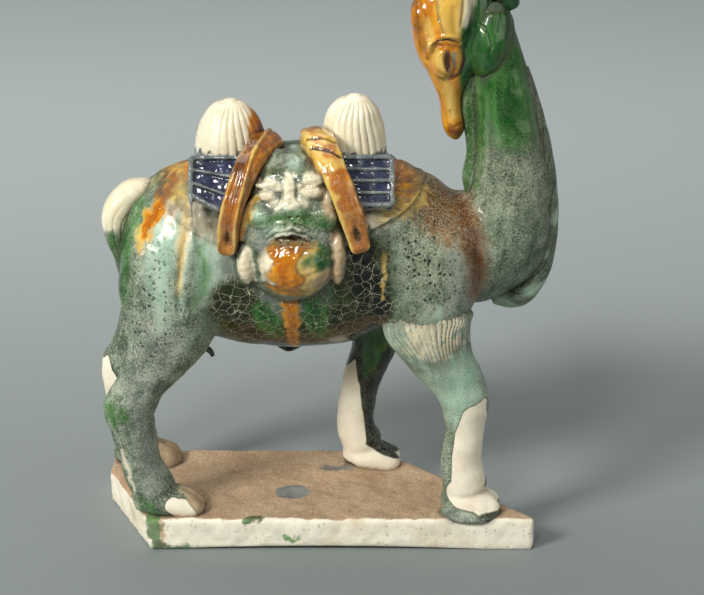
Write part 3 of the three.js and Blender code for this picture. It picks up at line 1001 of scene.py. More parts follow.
@dataclass(frozen=True)
class SancaiGlaze:
    """Lead glaze over white slip: a ground colour, colours laid over it, crackle, lime and bare clay."""

    name: str
    ground: Pigment
    pigments: tuple[tuple[Cover, Pigment], ...]
    lime: Colour = tone(196, 204, 184)
    dark: Colour = tone(50, 60, 44)
    pit: Colour = tone(22, 26, 22)
    net_colour: Colour = tone(212, 208, 176)
    # Grey-brown for dirty joints and for painted shade in the broad hollows.
    grime_and_shade: Colour = tone(84, 82, 68)
    clay: Colour = tone(250, 243, 222)
    clay_stain: Colour = tone(222, 196, 166)
    clay_speck: Colour = tone(164, 140, 112)
    # Bare clay darkened in the joints and hollows, as dirt and painted shade.
    clay_grime_and_shade: Colour = tone(150, 124, 98)
    clay_rim: Colour = tone(48, 60, 44)
    wide_cell: float = 3.4
    fine_cell: float = 1.25
    coat: float = 0.6
    relief: float = 0.16

    def build(self, effects: Effects) -> bpy.types.Material:
        """The material's nodes.

        Args:
            effects: the shared groups.

        Returns:
            The material.
        """
        material, g = empty_material(self.name)
        names = ("fine_hollow", "shade", "age", "pitted", "joint")
        fine_hollow, shade, age, pitted, joint = (g.attribute(name) for name in names)
        run = g.effect(effects.runs, {"Contrast": 0.9})["Run"]
        specks = g.effect(effects.specks, {"Amount": age})
        thick = g.math("MULTIPLY_ADD", fine_hollow, 0.7, g.times(run, 0.75), clamp=True)
        colour = g.mix(thick, self.ground.thin, self.ground.thick)
        rough = self.ground.roughness
        for cover, pigment in self.pigments:
            laid = g.attribute(cover.value)
            mask = g.effect(effects.edge, {"Cover": laid, "Wobble": 0.9, "Softness": pigment.edge})["Mask"]
            depth = g.math("MULTIPLY_ADD", g.ease(laid, 0.0, 1.0), 0.35, g.times(thick, 0.8), clamp=True)
            colour = g.mix(mask, colour, g.mix(depth, pigment.thin, pigment.thick))
            rough = g.blend(mask, rough, pigment.roughness)
            age = g.times(age, g.math("MULTIPLY_ADD", mask, -pigment.clean, 1.0))
        weathering = (("Mottle", 0.35, self.lime), ("Speck", 0.65, self.lime), ("Dark", 0.65, self.dark))
        for kind, share, stain in weathering:
            colour = g.mix(g.times(specks[kind], age, share), colour, stain)
        holes = g.times(specks["Pit"], pitted)
        wide = {"Size": self.wide_cell * MM, "Width": 0.018, "Broken": 0.2}
        fine = {"Size": self.fine_cell * MM, "Width": 0.09, "Broken": 0.4}
        lines = g.math(
            "MAXIMUM",
            g.times(g.effect(effects.net, wide)[0], g.attribute("wide_net")),
            g.times(g.effect(effects.net, fine)[0], g.attribute("fine_net"), 0.55),
        )
        # Dirt and painted shade: the joints between pieces and the broad hollows darken towards grey-brown,
        # broken by the mottle, and lose their gloss.
        grime_and_shade_share = g.times(g.math("MAXIMUM", joint, shade), g.ease(specks["Mottle"], -0.6, 0.8))
        colour = g.mix(g.times(grime_and_shade_share, 0.75), colour, self.grime_and_shade)
        colour = g.mix(g.times(lines, 0.8), colour, self.net_colour)
        colour = g.mix(holes, colour, self.pit)
        dull = g.math("MULTIPLY_ADD", specks["Mottle"], 0.2, 0.22)
        rough = g.math("MULTIPLY_ADD", age, dull, rough, clamp=True)
        rough = g.math("MULTIPLY_ADD", grime_and_shade_share, 0.4, rough, clamp=True)
        edge = {"Cover": g.attribute(Cover.BARE.value), "Wobble": 0.5, "Softness": 0.12, "Rim width": 0.28}
        bare = g.effect(effects.edge, edge)
        grain = g.noise(g.place(), 0.6, 4.0, 0.7)
        # Bare clay, darkened by dirt and painted shade in the joints and hollows.
        colour = g.mix(bare["Mask"], colour, self.bare_clay(g, grain, g.math("MAXIMUM", fine_hollow, grime_and_shade_share)))
        colour = g.mix(g.times(bare["Rim"], 0.8), colour, self.clay_rim)
        rough = g.blend(bare["Mask"], rough, 0.85)
        height = g.math("MULTIPLY_ADD", lines, -0.5, g.times(g.noise(g.place(), 2.0, 3.0), 0.6))
        height = g.math("MULTIPLY_ADD", holes, -1.0, height)
        height = g.math("MULTIPLY_ADD", g.times(specks["Speck"], age), 0.4, height)
        height = g.blend(bare["Mask"], height, g.math("MULTIPLY_ADD", grain, 0.7, -0.9))
        bump = g.add("ShaderNodeBump", {"Height": height, "Strength": 0.8, "Distance": self.relief * MM})
        gloss = g.math("SUBTRACT", 1.0, g.times(age, 0.75), clamp=True)
        shiny = g.math("SUBTRACT", 1.0, g.math("MAXIMUM", bare["Mask"], grime_and_shade_share), clamp=True)
        g.surface(
            colour,
            rough,
            Normal=bump.outputs[0],
            Coat_Weight=g.times(gloss, self.coat, shiny),
            Coat_Roughness=0.08,
            IOR=1.5,
            Specular_IOR_Level=0.3,
        )
        return material

    def bare_clay(self, g: Graph, grain: object, grime_and_shade_amount: object) -> object:
        """The colour of clay without glaze.

        Args:
            g: the material's graph.
            grain: the clay's fine grain.
            grime_and_shade_amount: where dirt gathers and painted shade falls, in the joints and hollows.

        Returns:
            The colour's socket.
        """
        stain = g.ease(g.noise(g.place(), 7.0, 3.0), 0.45, 0.75)
        clay = g.mix(g.times(stain, 0.35), self.clay, self.clay_stain)
        clay = g.mix(g.times(g.ease(grain, 0.58, 0.7), 0.5), clay, self.clay_speck)
        return g.mix(g.times(grime_and_shade_amount, 0.55), clay, self.clay_grime_and_shade)


@dataclass(frozen=True)
class DustySlip:
    """The slab's finish: cream slip on its sides, brown dust trodden over its top, stains of glaze."""

    name: str
    slip: Colour = tone(252, 246, 228)
    shadow: Colour = tone(226, 212, 182)
    dust: Colour = tone(186, 156, 124)
    pale_dust: Colour = tone(206, 179, 147)
    slip_speck: Colour = tone(120, 104, 78)
    slip_pit: Colour = tone(90, 84, 62)
    dust_speck: Colour = tone(128, 100, 72)
    dust_glint: Colour = tone(222, 202, 172)
    # Grey-brown for dirt and painted shade where the feet meet the slab and in its hollows.
    grime_and_shade: Colour = tone(98, 88, 70)

    def build(self, effects: Effects) -> bpy.types.Material:
        """The material's nodes.

        Args:
            effects: the shared groups.

        Returns:
            The material.
        """
        material, g = empty_material(self.name)
        spot = g.place()
        specks = g.effect(effects.specks, {"Amount": 0.5})
        broad = g.noise(spot, 14.0, 4.0, 0.6)
        grain = g.noise(spot, 0.7, 4.0, 0.7)
        side = g.mix(g.ease(broad, 0.45, 0.75), self.slip, self.shadow)
        side = g.mix(g.times(g.ease(grain, 0.62, 0.7), 0.55), side, self.slip_speck)
        side = g.mix(g.times(specks["Pit"], specks["Mottle"], 0.4), side, self.slip_pit)
        top = g.mix(g.ease(broad, 0.35, 0.65), self.dust, self.pale_dust)
        top = g.mix(g.times(g.ease(grain, 0.4, 0.62), 0.5), top, self.dust_speck)
        glint = g.ease(g.noise(spot, 0.9, 3.0, 0.75), 0.56, 0.66)
        top = g.mix(g.times(glint, 0.6), top, self.dust_glint)
        edge = {"Cover": g.attribute("top"), "Wobble": 1.2, "Softness": 0.5}
        colour = g.mix(g.effect(effects.edge, edge)["Mask"], side, top)
        for cover, pigment in ((Cover.MIST, SLATE), (Cover.ROSE, ROSE), (Cover.LEAF, LEAF)):
            laid = {"Cover": g.attribute(cover.value), "Wobble": 1.3, "Softness": 0.35}
            stain = g.times(g.effect(effects.edge, laid)["Mask"], 0.85)
            colour = g.mix(stain, colour, g.mix(g.ease(broad, 0.4, 0.6), pigment.thin, pigment.thick))
        # Dirt and painted shade: the slab darkens where the feet meet it and in its fine hollows.
        grime_and_shade_amount = g.math("MAXIMUM", g.attribute("joint"), g.times(g.attribute("fine_hollow"), 0.6))
        colour = g.mix(g.times(grime_and_shade_amount, 0.8), colour, self.grime_and_shade)
        height = g.math("ADD", g.times(grain, 0.8), g.noise(spot, 3.0, 3.0))
        bump = g.add("ShaderNodeBump", {"Height": height, "Strength": 0.7, "Distance": 0.25 * MM})
        g.surface(colour, g.math("MULTIPLY_ADD", grain, 0.15, 0.78), Normal=bump.outputs[0])
        return material


AMBER = Pigment(tone(246, 176, 34), tone(176, 94, 4), 0.12, 0.5, 0.95)
TAN = Pigment(tone(226, 144, 30), tone(140, 68, 6), 0.12, 0.5, 0.95)
STRAW = Pigment(tone(242, 218, 132), tone(218, 172, 68), 0.16, 0.7, 0.85)
RUST = Pigment(tone(134, 80, 28), tone(70, 34, 10), 0.2, 0.7, 0.8)
CREAM = Pigment(tone(252, 248, 230), tone(234, 222, 186), 0.34, 0.6, 0.6)
LEAF = Pigment(tone(82, 146, 66), tone(12, 70, 20), 0.16, 0.7, 0.6)
MINT = Pigment(tone(200, 222, 202), tone(152, 190, 166), 0.3, 0.8, 0.5)
OLIVE = Pigment(tone(72, 84, 36), tone(28, 36, 12), 0.16, 0.6, 0.9)
DEEP = Pigment(tone(34, 44, 32), tone(8, 14, 10), 0.16, 0.5, 0.5)
MIST = Pigment(tone(150, 160, 146), tone(100, 114, 106), 0.4, 0.8, 0.2)
OCHRE = Pigment(tone(156, 102, 30), tone(98, 60, 14), 0.3, 0.9, 0.75)
ROSE = Pigment(tone(216, 196, 162), tone(184, 152, 116), 0.4, 0.8, 0.7)
BLUE = Pigment(tone(60, 72, 112), tone(12, 18, 44), 0.12, 0.4, 0.7)
SLATE = Pigment(tone(132, 142, 142), tone(76, 88, 96), 0.3, 0.6, 0.2)
WEATHERED_GREEN = Pigment(tone(112, 134, 110), tone(46, 68, 48), 0.34, 0.5)
ALL_PIGMENTS = (
    (Cover.MIST, MIST),
    (Cover.OLIVE, OLIVE),
    (Cover.DEEP, DEEP),
    (Cover.MINT, MINT),
    (Cover.LEAF, LEAF),
    (Cover.OCHRE, OCHRE),
    (Cover.CREAM, CREAM),
    (Cover.ROSE, ROSE),
    (Cover.STRAW, STRAW),
    (Cover.AMBER, AMBER),
    (Cover.RUST, RUST),
)


class Finishes:
    """Every material of the figure and its slab."""

    def __init__(self) -> None:
        """Builds the shared effects, then the materials."""
        effects = Effects()
        worn = ((Cover.MIST, MIST), (Cover.STRAW, STRAW), (Cover.RUST, RUST), (Cover.DEEP, DEEP))
        self.body = SancaiGlaze("body_glaze", WEATHERED_GREEN, ALL_PIGMENTS, coat=0.38).build(effects)
        self.head = SancaiGlaze("head_glaze", AMBER, ALL_PIGMENTS, coat=1.0).build(effects)
        self.bolster = SancaiGlaze("bolster_glaze", TAN, worn, coat=1.0, relief=0.1).build(effects)
        slats = ((Cover.MIST, SLATE), (Cover.STRAW, STRAW))
        self.board = SancaiGlaze("board_glaze", BLUE, slats, coat=1.0, relief=0.05).build(effects)
        stained = ((Cover.BLUE, BLUE), (Cover.MIST, MIST), (Cover.AMBER, AMBER), (Cover.RUST, RUST))
        bag = SancaiGlaze("bag_glaze", WEATHERED_GREEN, ALL_PIGMENTS, coat=1.0, relief=0.12)
        self.bag = bag.build(effects)
        self.hump = SancaiGlaze("hump_glaze", CREAM, stained).build(effects)
        self.slab = DustySlip("slab_slip").build(effects)


# The figure


@dataclass
class Body:
    """Trunk, neck, legs and feet, luted together and smoothed as one skin."""

    pitch: float = 0.8
    torso: Stations = (
        (-66, 0, 86, 5, 6), (-62.5, 0, 85.5, 14, 14), (-55, 0, 85.5, 22, 20.5), (-44, 0, 85.5, 27.5, 25),
        (-30, 0, 85, 30.6, 26), (-15, 0, 84.8, 33.2, 27), (0, 0, 85.3, 33.2, 27), (14, 0, 86.2, 30.8, 26),
        (27, 0, 85.4, 26.2, 25), (38, 0, 83.6, 21.4, 23), (48, 0, 83, 18, 19), (56, 0, 82, 12, 13),
        (60, 0, 82, 6, 7),
    )
    neck: Stations = (
        (38, 0, 86, 17, 18), (50, 0, 85, 18.5, 17), (58.5, 0, 90, 17, 14.5), (61.5, 0, 104, 13.5, 12.5),
        (60.5, 0, 118, 11.8, 11), (58.8, 0, 131, 10.2, 9.8), (56.5, 0, 143, 9, 8.8), (54, 0, 155, 8, 8),
        (52, 0, 164, 6.5, 6.5),
    )
    legs: tuple[Stations, ...] = (
        (
            (-45, -13, 90, 16, 11), (-47.5, -15.5, 78, 17.5, 12), (-47.5, -17, 66, 15.6, 10.6),
            (-52, -18.5, 54.5, 11, 8.8), (-57.5, -19, 44.5, 8.1, 7.4), (-61.8, -19, 36, 8.6, 7),
            (-61, -19, 29, 7.2, 6.4), (-59.6, -19, 22, 6.6, 6), (-58, -19, 15, 6.8, 6.2),
            (-54.5, -19, 7, 7.4, 6.8),
        ),
        (
            (-46, 13, 88, 16, 11), (-50, 15.5, 75, 17, 12), (-54.5, 17.5, 60, 13, 10),
            (-61, 18.5, 47, 9, 7.8), (-66.6, 19, 36, 8.5, 7), (-67.2, 19, 27, 7.2, 6.4),
            (-66.8, 19, 17, 6.8, 6), (-63.5, 19, 7.5, 7.4, 6.8),
        ),
        (
            (36, -13, 90, 15, 11), (35, -16, 76, 15.5, 11.5), (34.8, -17.5, 65, 13.6, 10.6),
            (39.8, -18.5, 53, 10.4, 8.6), (44.6, -18.5, 45, 8.8, 7.6), (47.2, -18.5, 38.5, 8.1, 7.1),
            (47.2, -18.5, 32, 6.8, 6.4), (46.8, -18.5, 25, 6.2, 6), (46.2, -18.5, 17, 6.6, 6.1),
            (48, -18.5, 8, 7.2, 6.8),
        ),
        (
            (34, 13, 88, 15, 11), (29.5, 15.5, 74, 14, 11), (24.5, 17, 60, 11, 9.4),
            (20, 17.5, 49, 8.5, 7.6), (16.8, 17.5, 40, 7.2, 6.9), (14, 17.5, 31, 6.5, 6.3),
            (12, 17.5, 21, 6.2, 6), (11.8, 17.5, 14, 6.5, 6.1), (14, 17.5, 7.5, 7.2, 6.8),
        ),
    )
    soles: tuple[Place, ...] = ((-60.5, -38.5, -19), (-71, -49, 19), (41, 59, -18.5), (8, 27, 17.5))
    puddle: Place = (49.5, -22.5, 0)
    puddle_half: Place = (10.5, 7.2, 2.6)
    lowest: float = -0.6

    def foot(self, heel: float, toe: float, y: float) -> list[Shell]:
        """A foot: a pad from heel to toe, with two toes side by side in front.

        Args:
            heel: x of the heel.
            toe: x of the toe's tip.
            y: the foot's middle line.

        Returns:
            The pad and the toes.
        """
        length = toe - heel
        pad = (
            (heel, y, 2, 2.5, 3.5),
            (heel + 0.2 * length, y, 3.5, 5, 6.6),
            (heel + 0.5 * length, y, 2.8, 5.6, 7.6),
            (heel + 0.78 * length, y, 1.6, 4.6, 7),
            (toe - 0.5, y, 0.4, 2, 4),
        )
        toes = [lump((heel + 0.76 * length, y + way * 3.5, 1.2), (4.9, 3.7, 4.4)) for way in (-1, 1)]
        return [tube(pad, 24, 28), *toes]

    def build(self) -> Skin:
        """The skin over all its forms and the glaze pooled by the near forefoot, cut off flat at the soles.

        Returns:
            The piece.
        """
        shells = [tube(self.torso, 60, 72), tube(self.neck, 48, 48)]
        shells += [tube(leg, 48, 36) for leg in self.legs]
        for sole in self.soles:
            shells += self.foot(*sole)
        shells.append(lump(self.puddle, self.puddle_half))
        skin = Skin.over("camel_body", shells, self.pitch, 4)
        x, z = skin.points[:, 0], skin.points[:, 2]
        upper = smoothstep(50, 66, z) * (1 - smoothstep(120, 135, z))
        skin.soften(upper, 46)
        skin.soften(smoothstep(30, 45, z) * (1 - upper) * 0.8, 10)
        self.model(skin)
        points = skin.points.copy()
        points[:, 2] = np.maximum(points[:, 2], self.lowest)
        skin.move(points)
        return skin

    def model(self, skin: Skin) -> None:
        """Presses in the folds of the haunch, the clefts between the toes and the hand's unevenness.

        Args:
            skin: the body's skin.
        """
        p = skin.points
        marks = (
            (((-41.5, 98), (-43, 90), (-44, 82), (-44.2, 74), (-44, 68)), (0.8, 1.5, 1.7, 1.5, 0.6), -1.3),
            (((-39, 97), (-40.6, 88), (-41.4, 78), (-41.6, 70)), (2.0, 2.6, 2.6, 1.4), 0.55),
            (((-56, 96), (-60, 86), (-62, 76), (-61, 66)), (1.6, 2.2, 2.2, 1.0), -0.5),
            (((-64, 46), (-57, 41), (-55, 34)), 1.6, -0.35),
        )
        height = 0.26 * wander(p, 15.0, 3) + 0.1 * wander(p, 5.5, 4)
        for path, half, depth in marks:
            for mark in on_both_flanks([Stroke(path, half)], 1.0):
                height += depth * mark.furrow(p)
        for heel, toe, y in self.soles:
            ahead = smoothstep(heel + 0.62 * (toe - heel), heel + 0.8 * (toe - heel), p[:, 0])
            inside = (p[:, 0] < toe + 3) * (np.abs(p[:, 1] - y) < 9) * (p[:, 2] < 9)
            height -= 1.1 * ahead * inside * bell(p[:, 1], y, 0.9)
        skin.carve(height)

    def dress(self, skin: Skin, finishes: Finishes) -> None:
        """Lays the glazes as they ran down the flanks.

        Args:
            skin: the body's skin.
            finishes: the materials.
        """
        covers = flank_glazes()
        for cover, strokes in strokes_of(LEG_GLAZES).items():
            covers.setdefault(cover, []).extend(strokes)
        p = skin.points
        belly = 1 - smoothstep(0.78, 1.1, np.hypot((p[:, 0] + 5) / 33, (p[:, 2] - 72) / 27))
        neck = smoothstep(46, 54, p[:, 0]) * smoothstep(92, 104, p[:, 2])
        upper = smoothstep(112, 130, p[:, 2]) * neck
        shoulder = soft_oval(p, (33, 86), (15, 20))
        thigh = soft_oval(p, (-52, 72), (16, 26))
        far_fore = smoothstep(2, 8, p[:, 1]) * smoothstep(-5, 5, p[:, 0]) * (1 - smoothstep(50, 60, p[:, 2]))
        legs = 1 - smoothstep(50, 64, p[:, 2])
        rump = soft_oval(p, (-46, 117), (7, 8))
        age = 0.62 + 0.3 * thigh + 0.2 * legs - 0.6 * belly - 0.55 * upper - 0.1 * neck
        age -= 0.35 * far_fore + 0.5 * rump
        skin.lay(covers, bend=0.5, drip=0.9)
        withers = soft_oval(p, (37, 104), (14, 13))
        fine = np.clip(0.7 * shoulder + 0.5 * withers + 0.75 * neck - 0.7 * upper + 0.1, 0, 1) * (1 - belly)
        wide = np.clip(belly + 0.5 * neck - 0.4 * upper, 0, 1)
        skin.weather(np.clip(age, 0, 1), wide, fine, np.clip(1.1 * shoulder + 0.8 * thigh, 0, 1))
        skin.finish(Node.CAMEL, finishes.body)


# The glazes that ran down the near flank. The far flank's are like them.
FLANK_GLAZES: dict[Cover, list[tuple]] = {
    Cover.MIST: [
        (((44, 92), (47, 82), (46, 74)), 5, 5),
        (((-28, 90), (-27, 80), (-30, 68)), (5, 5, 4), 4),
        (((-17, 79), (-16, 75)), (3.4, 3.0), 2),
        (((-50, 62), (-54, 52), (-56, 44)), (8, 6, 4), 6),
        (((49, 139), (48, 130), (48, 119), (47, 110), (46, 104)), 0.3, 0.8),
        (((50, 139), (52, 131), (53, 123), (53, 115), (51, 108), (47, 102)), 0.3, 0.8),
    ],
    Cover.OLIVE: [(((-27, 74), (-20, 62), (-8, 58), (5, 60), (13, 72), (14, 88)), 9, 3)],
    Cover.DEEP: [
        (((-62, 92), (-61.6, 86), (-60.4, 80)), (0.6, 1.8, 0.8), 3),
        (((13, 93), (15.5, 82), (18, 72), (15, 62)), (3.5, 5.5, 5.5, 3), 2.4),
        (((-28, 72), (-23, 62), (-12, 55), (4, 55)), (1, 2, 2.4, 2), 4),
    ],
    Cover.MINT: [
        (((-47.5, 98), (-49, 88), (-50, 78), (-49, 68)), (6, 5, 4, 1), 5),
        (((-34, 97), (-36, 86), (-37, 76)), (4.5, 4, 1), 5),
        (((38, 60), (42, 50), (47, 38)), (11, 11, 8), 5),
        (((-42, 95), (-44, 84), (-45, 72)), (3, 3, 1), 4),
    ],
    Cover.LEAF: [
        (((-61, 98), (-65, 88), (-64, 76)), (4, 5.5, 4.4), 4),
        (((-57, 103), (-59.4, 97)), (2, 3), 4),
        (((-50, 112), (-52, 110)), 2, 2),
        (((-37.5, 93), (-35.5, 87), (-37, 79), (-40, 72)), (0.4, 1.4, 1.0, 0.2), 3),
        (((-18, 72), (-16, 67), (-14.4, 62)), (3.2, 3.8, 2.6), 1.8),
        (((-2, 75), (-0.6, 69), (0, 63)), (3.0, 3.8, 2.6), 1.8),
        (((54, 150), (58, 138), (62, 126)), (10, 8, 5), 6, BOTH),
        (((50.6, 136), (50.6, 122), (49.4, 108)), (1.8, 2.2, 1.6), 1.6),
    ],
    Cover.OCHRE: [
        (((27, 112), (34, 107), (39, 101), (41, 96)), (5, 6.4, 6, 3), 5),
        (((42, 105), (47, 98), (50, 88), (50, 76)), (4, 4, 3.2, 2), 4),
    ],
    Cover.CREAM: [
        (((-47, 107), (-46, 102), (-48, 97)), (1.2, 1.8, 0.6), 3.5),
        (((-42, 106), (-41.4, 98), (-42.8, 90), (-44, 80)), (1.2, 1.3, 1.1, 0.4), 3.0),
        (((-40, 105), (-35, 100), (-31, 96)), (3.0, 3.6, 2.0), 3.5),
        (((12, 104), (18, 101), (25, 103)), (2.0, 2.2, 1.2), 2.5),
    ],
    Cover.ROSE: [
        (((-50, 116), (-56, 110), (-60, 107)), (2.6, 2.8, 1.5), 3),
        # Painted shade: this rose patch dulls the cream on the haunch's crest, where the key light glares.
        (((-46.6, 107), (-46.8, 101)), 1.2, 3),
        (((24, 121), (33, 116), (42, 109)), (3, 3.4, 2), 3),
    ],
    Cover.STRAW: [
        (((-44, 121), (-47, 115), (-45, 108)), (7.4, 5.6, 2.8), 3),
        (((-53, 101), (-55.5, 95), (-56.5, 91)), (1.6, 2.2, 1.0), 2),
        (((-42, 108), (-41.2, 101), (-42.4, 96), (-43.4, 88), (-44, 78)), (1.0, 0.9, 0.7, 0.6, 0.2), 3.2),
        (((21, 103), (27, 104.4), (32, 106)), (1.6, 2.2, 2.0), 3.5),
        (((20.6, 92), (20.8, 84), (20, 76)), (0.3, 0.6, 0.3), 1.0),
    ],
    Cover.AMBER: [
        (((-39.6, 127), (-40.4, 119), (-42, 112)), (3.0, 2.4, 1.4), 3),
        (((-46, 111), (-49, 106), (-52.4, 100.4), (-54.6, 95.6)), (1.4, 1.7, 2.0, 1.4), 1.4),
        (((-9.3, 86), (-9, 75), (-8.6, 66), (-8.4, 54)), (3.0, 2.6, 2.0, 1.4), 1.4),
        (((19, 120), (25, 113), (29, 109)), (6, 6, 2.4), 3),
    ],
    Cover.RUST: [
        (((40, 105), (45, 101), (48.5, 94), (50.5, 86), (50, 76)), (1.6, 2.4, 2.4, 2.2, 1.2), 4),
        (((-49, 110), (-50.4, 106.4)), (0.7, 0.8), 1.6),
    ],
}

NEAR_LEG = outwards_of(-2)
FAR_LEG = outwards_of(2)

# The glazes of the legs and feet, each on one side only.
LEG_GLAZES: dict[Cover, list[tuple]] = {
    Cover.DEEP: [
        (((20, 52), (16, 40), (16, 28), (18, 12), (24, 6)), (9, 8, 6, 5, 4), 2, FAR_LEG),
        (((54.5, 2), (59, 1)), (2.0, 2.4), 1.5, outwards_of(-12)),
    ],
    Cover.LEAF: [
        (((26, 56), (18, 46), (16, 36)), (3, 4, 1), 3, FAR_LEG),
        (((-68, 38), (-66.6, 34)), (2.4, 2.0), 2, NEAR_LEG),
        (((-63.4, 36.6), (-62.4, 34.6)), 1.4, 2, NEAR_LEG),
        (((-59, 4), (-54, 1)), (2.0, 2.0), 3, outwards_of(-20)),
    ],
    Cover.MIST: [
        (((40, 2), (46, 0), (52, 0)), (1.6, 2.2, 2.2), 1.2, outwards_of(-12)),
        (((-57, 52), (-58, 38), (-57, 24), (-55, 12)), (4, 4, 4.6, 4), 5, NEAR_LEG),
    ],
    Cover.ROSE: [
        (((-45, 8), (-40.6, 6), (-38, 1)), (1.4, 3.4, 2.4), 1.6, NEAR_LEG),
        (((-58, 9), (-52, 6), (-48, 1)), 5.0, 1.6, FAR_LEG),
    ],
    Cover.BARE: [
        (
            ((53, 40), (50, 35), (49.4, 28), (48.8, 20), (48.6, 12)),
            (1.2, 4.4, 5.6, 5.8, 5.8),
            1.2,
            outwards_of(-16),
        ),
        (((47, 8), (52, 5.6), (58, 4.6)), (5.6, 4.0, 2.8), 1.2, outwards_of(-12)),
        (((11.6, 40), (8.4, 30), (7, 20), (8, 11)), (0.2, 5.0, 7.4, 7.4), 1.0, FAR_LEG),
        (((10, 7), (17, 2.5), (25, 0.5)), (5.0, 4.2, 3.0), 1.2, FAR_LEG),
        (((-72.4, 40), (-74.6, 32), (-73, 21)), (0.6, 5.4, 5), 1.2, FAR_LEG),
        (((-48.2, 4), (-45.6, 2.6), (-43, 0.6)), (2.6, 3.4, 2.6), 1.2, NEAR_LEG),
    ],
    Cover.CREAM: [
        (((-64.4, 25), (-63.2, 18), (-61.8, 13), (-60.4, 8)), (0.3, 0.8, 0.8, 0.3), 1.2, outwards_of(-17)),
    ],
}


def flank_glazes() -> dict[Cover, list[Stroke]]:
    """The near flank's strokes by colour, and the far flank's like them."""
    return {cover: on_both_flanks(strokes) for cover, strokes in strokes_of(FLANK_GLAZES).items()}


@dataclass
class Tail:
    """The tail, curled against the haunch."""

    stations: Stations = (
        (-54, 0, 103, 5, 5), (-60.5, -2, 102.6, 5.4, 5.6), (-65, -4.5, 97.2, 5.0, 5.4),
        (-65.3, -6.5, 90, 3.2, 4.0), (-63.2, -8, 82, 1.5, 2.5), (-61.4, -8.5, 74.6, 0.8, 1.2),
    )
    strands: int = 9

    def build(self) -> Skin:
        """A tapering tube with its hair combed along it.

        Returns:
            The piece.
        """

        def proud(t: Array, angle: Array) -> Array:
            """Grooves along the hair, running out at the root."""
            combed = 0.34 * locks(self.strands * angle + 2.2 * np.sin(4 * t)) * smoothstep(0.2, 0.5, t)
            return combed + 0.12 * np.sin(5 * t + 3 * angle)

        return Skin.of("camel_tail", tube(self.stations, 80, 108, proud=proud))

    def dress(self, skin: Skin, finishes: Finishes) -> None:
        """Cream hair at the root, worn through to the grey-green ground and taken out of the grooves as
        painted shade, with a green run to the tip.

        Args:
            skin: the piece\'s mesh.
            finishes: the materials.
        """
        p = skin.points
        cream = (p[:, 2] - 92.6 + 1.6 * wander(p, 6.0, 7)) / 3.0
        worn = 0.5 * smoothstep(0.2, 1.2, wander(p, 5.0, 8))
        # Painted shade: the cream is taken out of the grooves between the strands, so they show the darker
        # ground.
        cream = np.clip(cream, -1, 1) - 1.5 * skin.hollows(5, 0.3) - worn
        strokes = {
            Cover.LEAF: [(((-66, 94), (-66, 84), (-63, 72)), (0.5, 3.0, 3.0), 3.0, BOTH)],
            Cover.MIST: [(((-69, 100), (-69, 94)), (1.2, 2.0), 2.4, BOTH)],
            Cover.RUST: [(((-57, 102), (-60.4, 97)), (0.6, 0.9), 1.2, NEAR)],
        }
        skin.lay(strokes_of(strokes), {Cover.CREAM: cream})
        skin.weather(0.6, 0.0, 0.1)
        skin.finish(Node.CAMEL, finishes.body)


@dataclass
class Mane:
    """A roll of combed hair along the neck, or a smaller tuft of it below the belly."""

    name: str
    stations: Stations
    strands: int
    slant: float
    depth: float = 0.42
    # How far the whole piece is glazed near-black; on the belly rim this is painted shade.
    dark: float = 0.0
    rings: int = 90
    around: int = 100

    def build(self) -> Skin:
        """A tube whose strands slant across it from front to back.

        Returns:
            The piece.
        """

        def proud(t: Array, angle: Array) -> Array:
            """Slanting strands: locks by the angle plus the distance along."""
            return self.depth * locks(self.strands * angle + self.slant * t, 2.2)

        return Skin.of(self.name, tube(self.stations, self.rings, self.around, proud=proud))

    def dress(self, skin: Skin, finishes: Finishes) -> None:
        """Grey-green and mint, dark in the grooves, with a green run down the nape.

        Args:
            skin: the piece\'s mesh.
            finishes: the materials.
        """
        p = skin.points
        grooves = np.clip(2.5 * skin.hollows(8, 0.4) - 0.6 + self.dark, -1, 0.7 + self.dark)
        green = {Cover.LEAF: [Stroke(((49, 140), (48, 118), (47, 106)), (4, 3, 2), 4.0, BOTH)]}
        skin.lay(green, {Cover.DEEP: grooves, Cover.MINT: 1.4 * smoothstep(0.2, 0.9, wander(p, 12.0, 9)) - 1})
        skin.weather(0.45, 0.0, 0.4)
        skin.finish(Node.CAMEL, finishes.body)


NAPE = Mane(
    "nape_mane",
    (
        (48, 0, 104, 1.5, 3), (48.6, 0, 109, 2.8, 4.4), (50.0, 0, 117, 3.0, 4.2),
        (49.2, 0, 126, 3.2, 4.2), (48.4, 0, 133, 3.6, 4.6), (48.4, 0, 142, 3.2, 4.6),
    ),
    6,
    9.0,
)
THROAT = Mane(
    "throat_mane",
    (
        (57, 0, 68, 3, 4), (65, 0, 69, 4.6, 5.2), (71, 0, 78, 4.4, 5.4), (73.5, 0, 92, 3.8, 5.2),
        (73, 0, 106, 3.5, 4.8), (71, 0, 119, 3.2, 4.4), (67.8, 0, 132, 2.8, 4), (64.5, 0, 144, 2, 3),
    ),
    7,
    60.0,
)


BELLY_HOOK = Mane(
    "belly_hook",
    (
        (-43, 0, 57, 1.6, 1.6), (-41, 0, 52.2, 1.3, 1.3), (-38.6, 0, 49.8, 1.1, 1.1),
        (-36.6, 0, 48.4, 1.0, 1.0), (-35.6, 0, 46.6, 0.7, 0.7),
    ),
    2,
    4.0,
    0.15,
    1.6,
    50,
    48,
)
# Painted shade: a collar under the belly, glazed near-black all over, standing for the shaded mouth of a vent
# hole.
BELLY_SHADE_RIM = Mane(
    "belly_rim",
    (
        (-16, 0, 52.4, 0.5, 1.5), (-12.6, 0, 50.8, 1.3, 3), (-9.6, 0, 50.2, 1.5, 3.4),
        (-4, 0, 52.2, 0.5, 1.5),
    ),
    2,
    0.0,
    0.1,
    1.8,
    50,
    48,
)


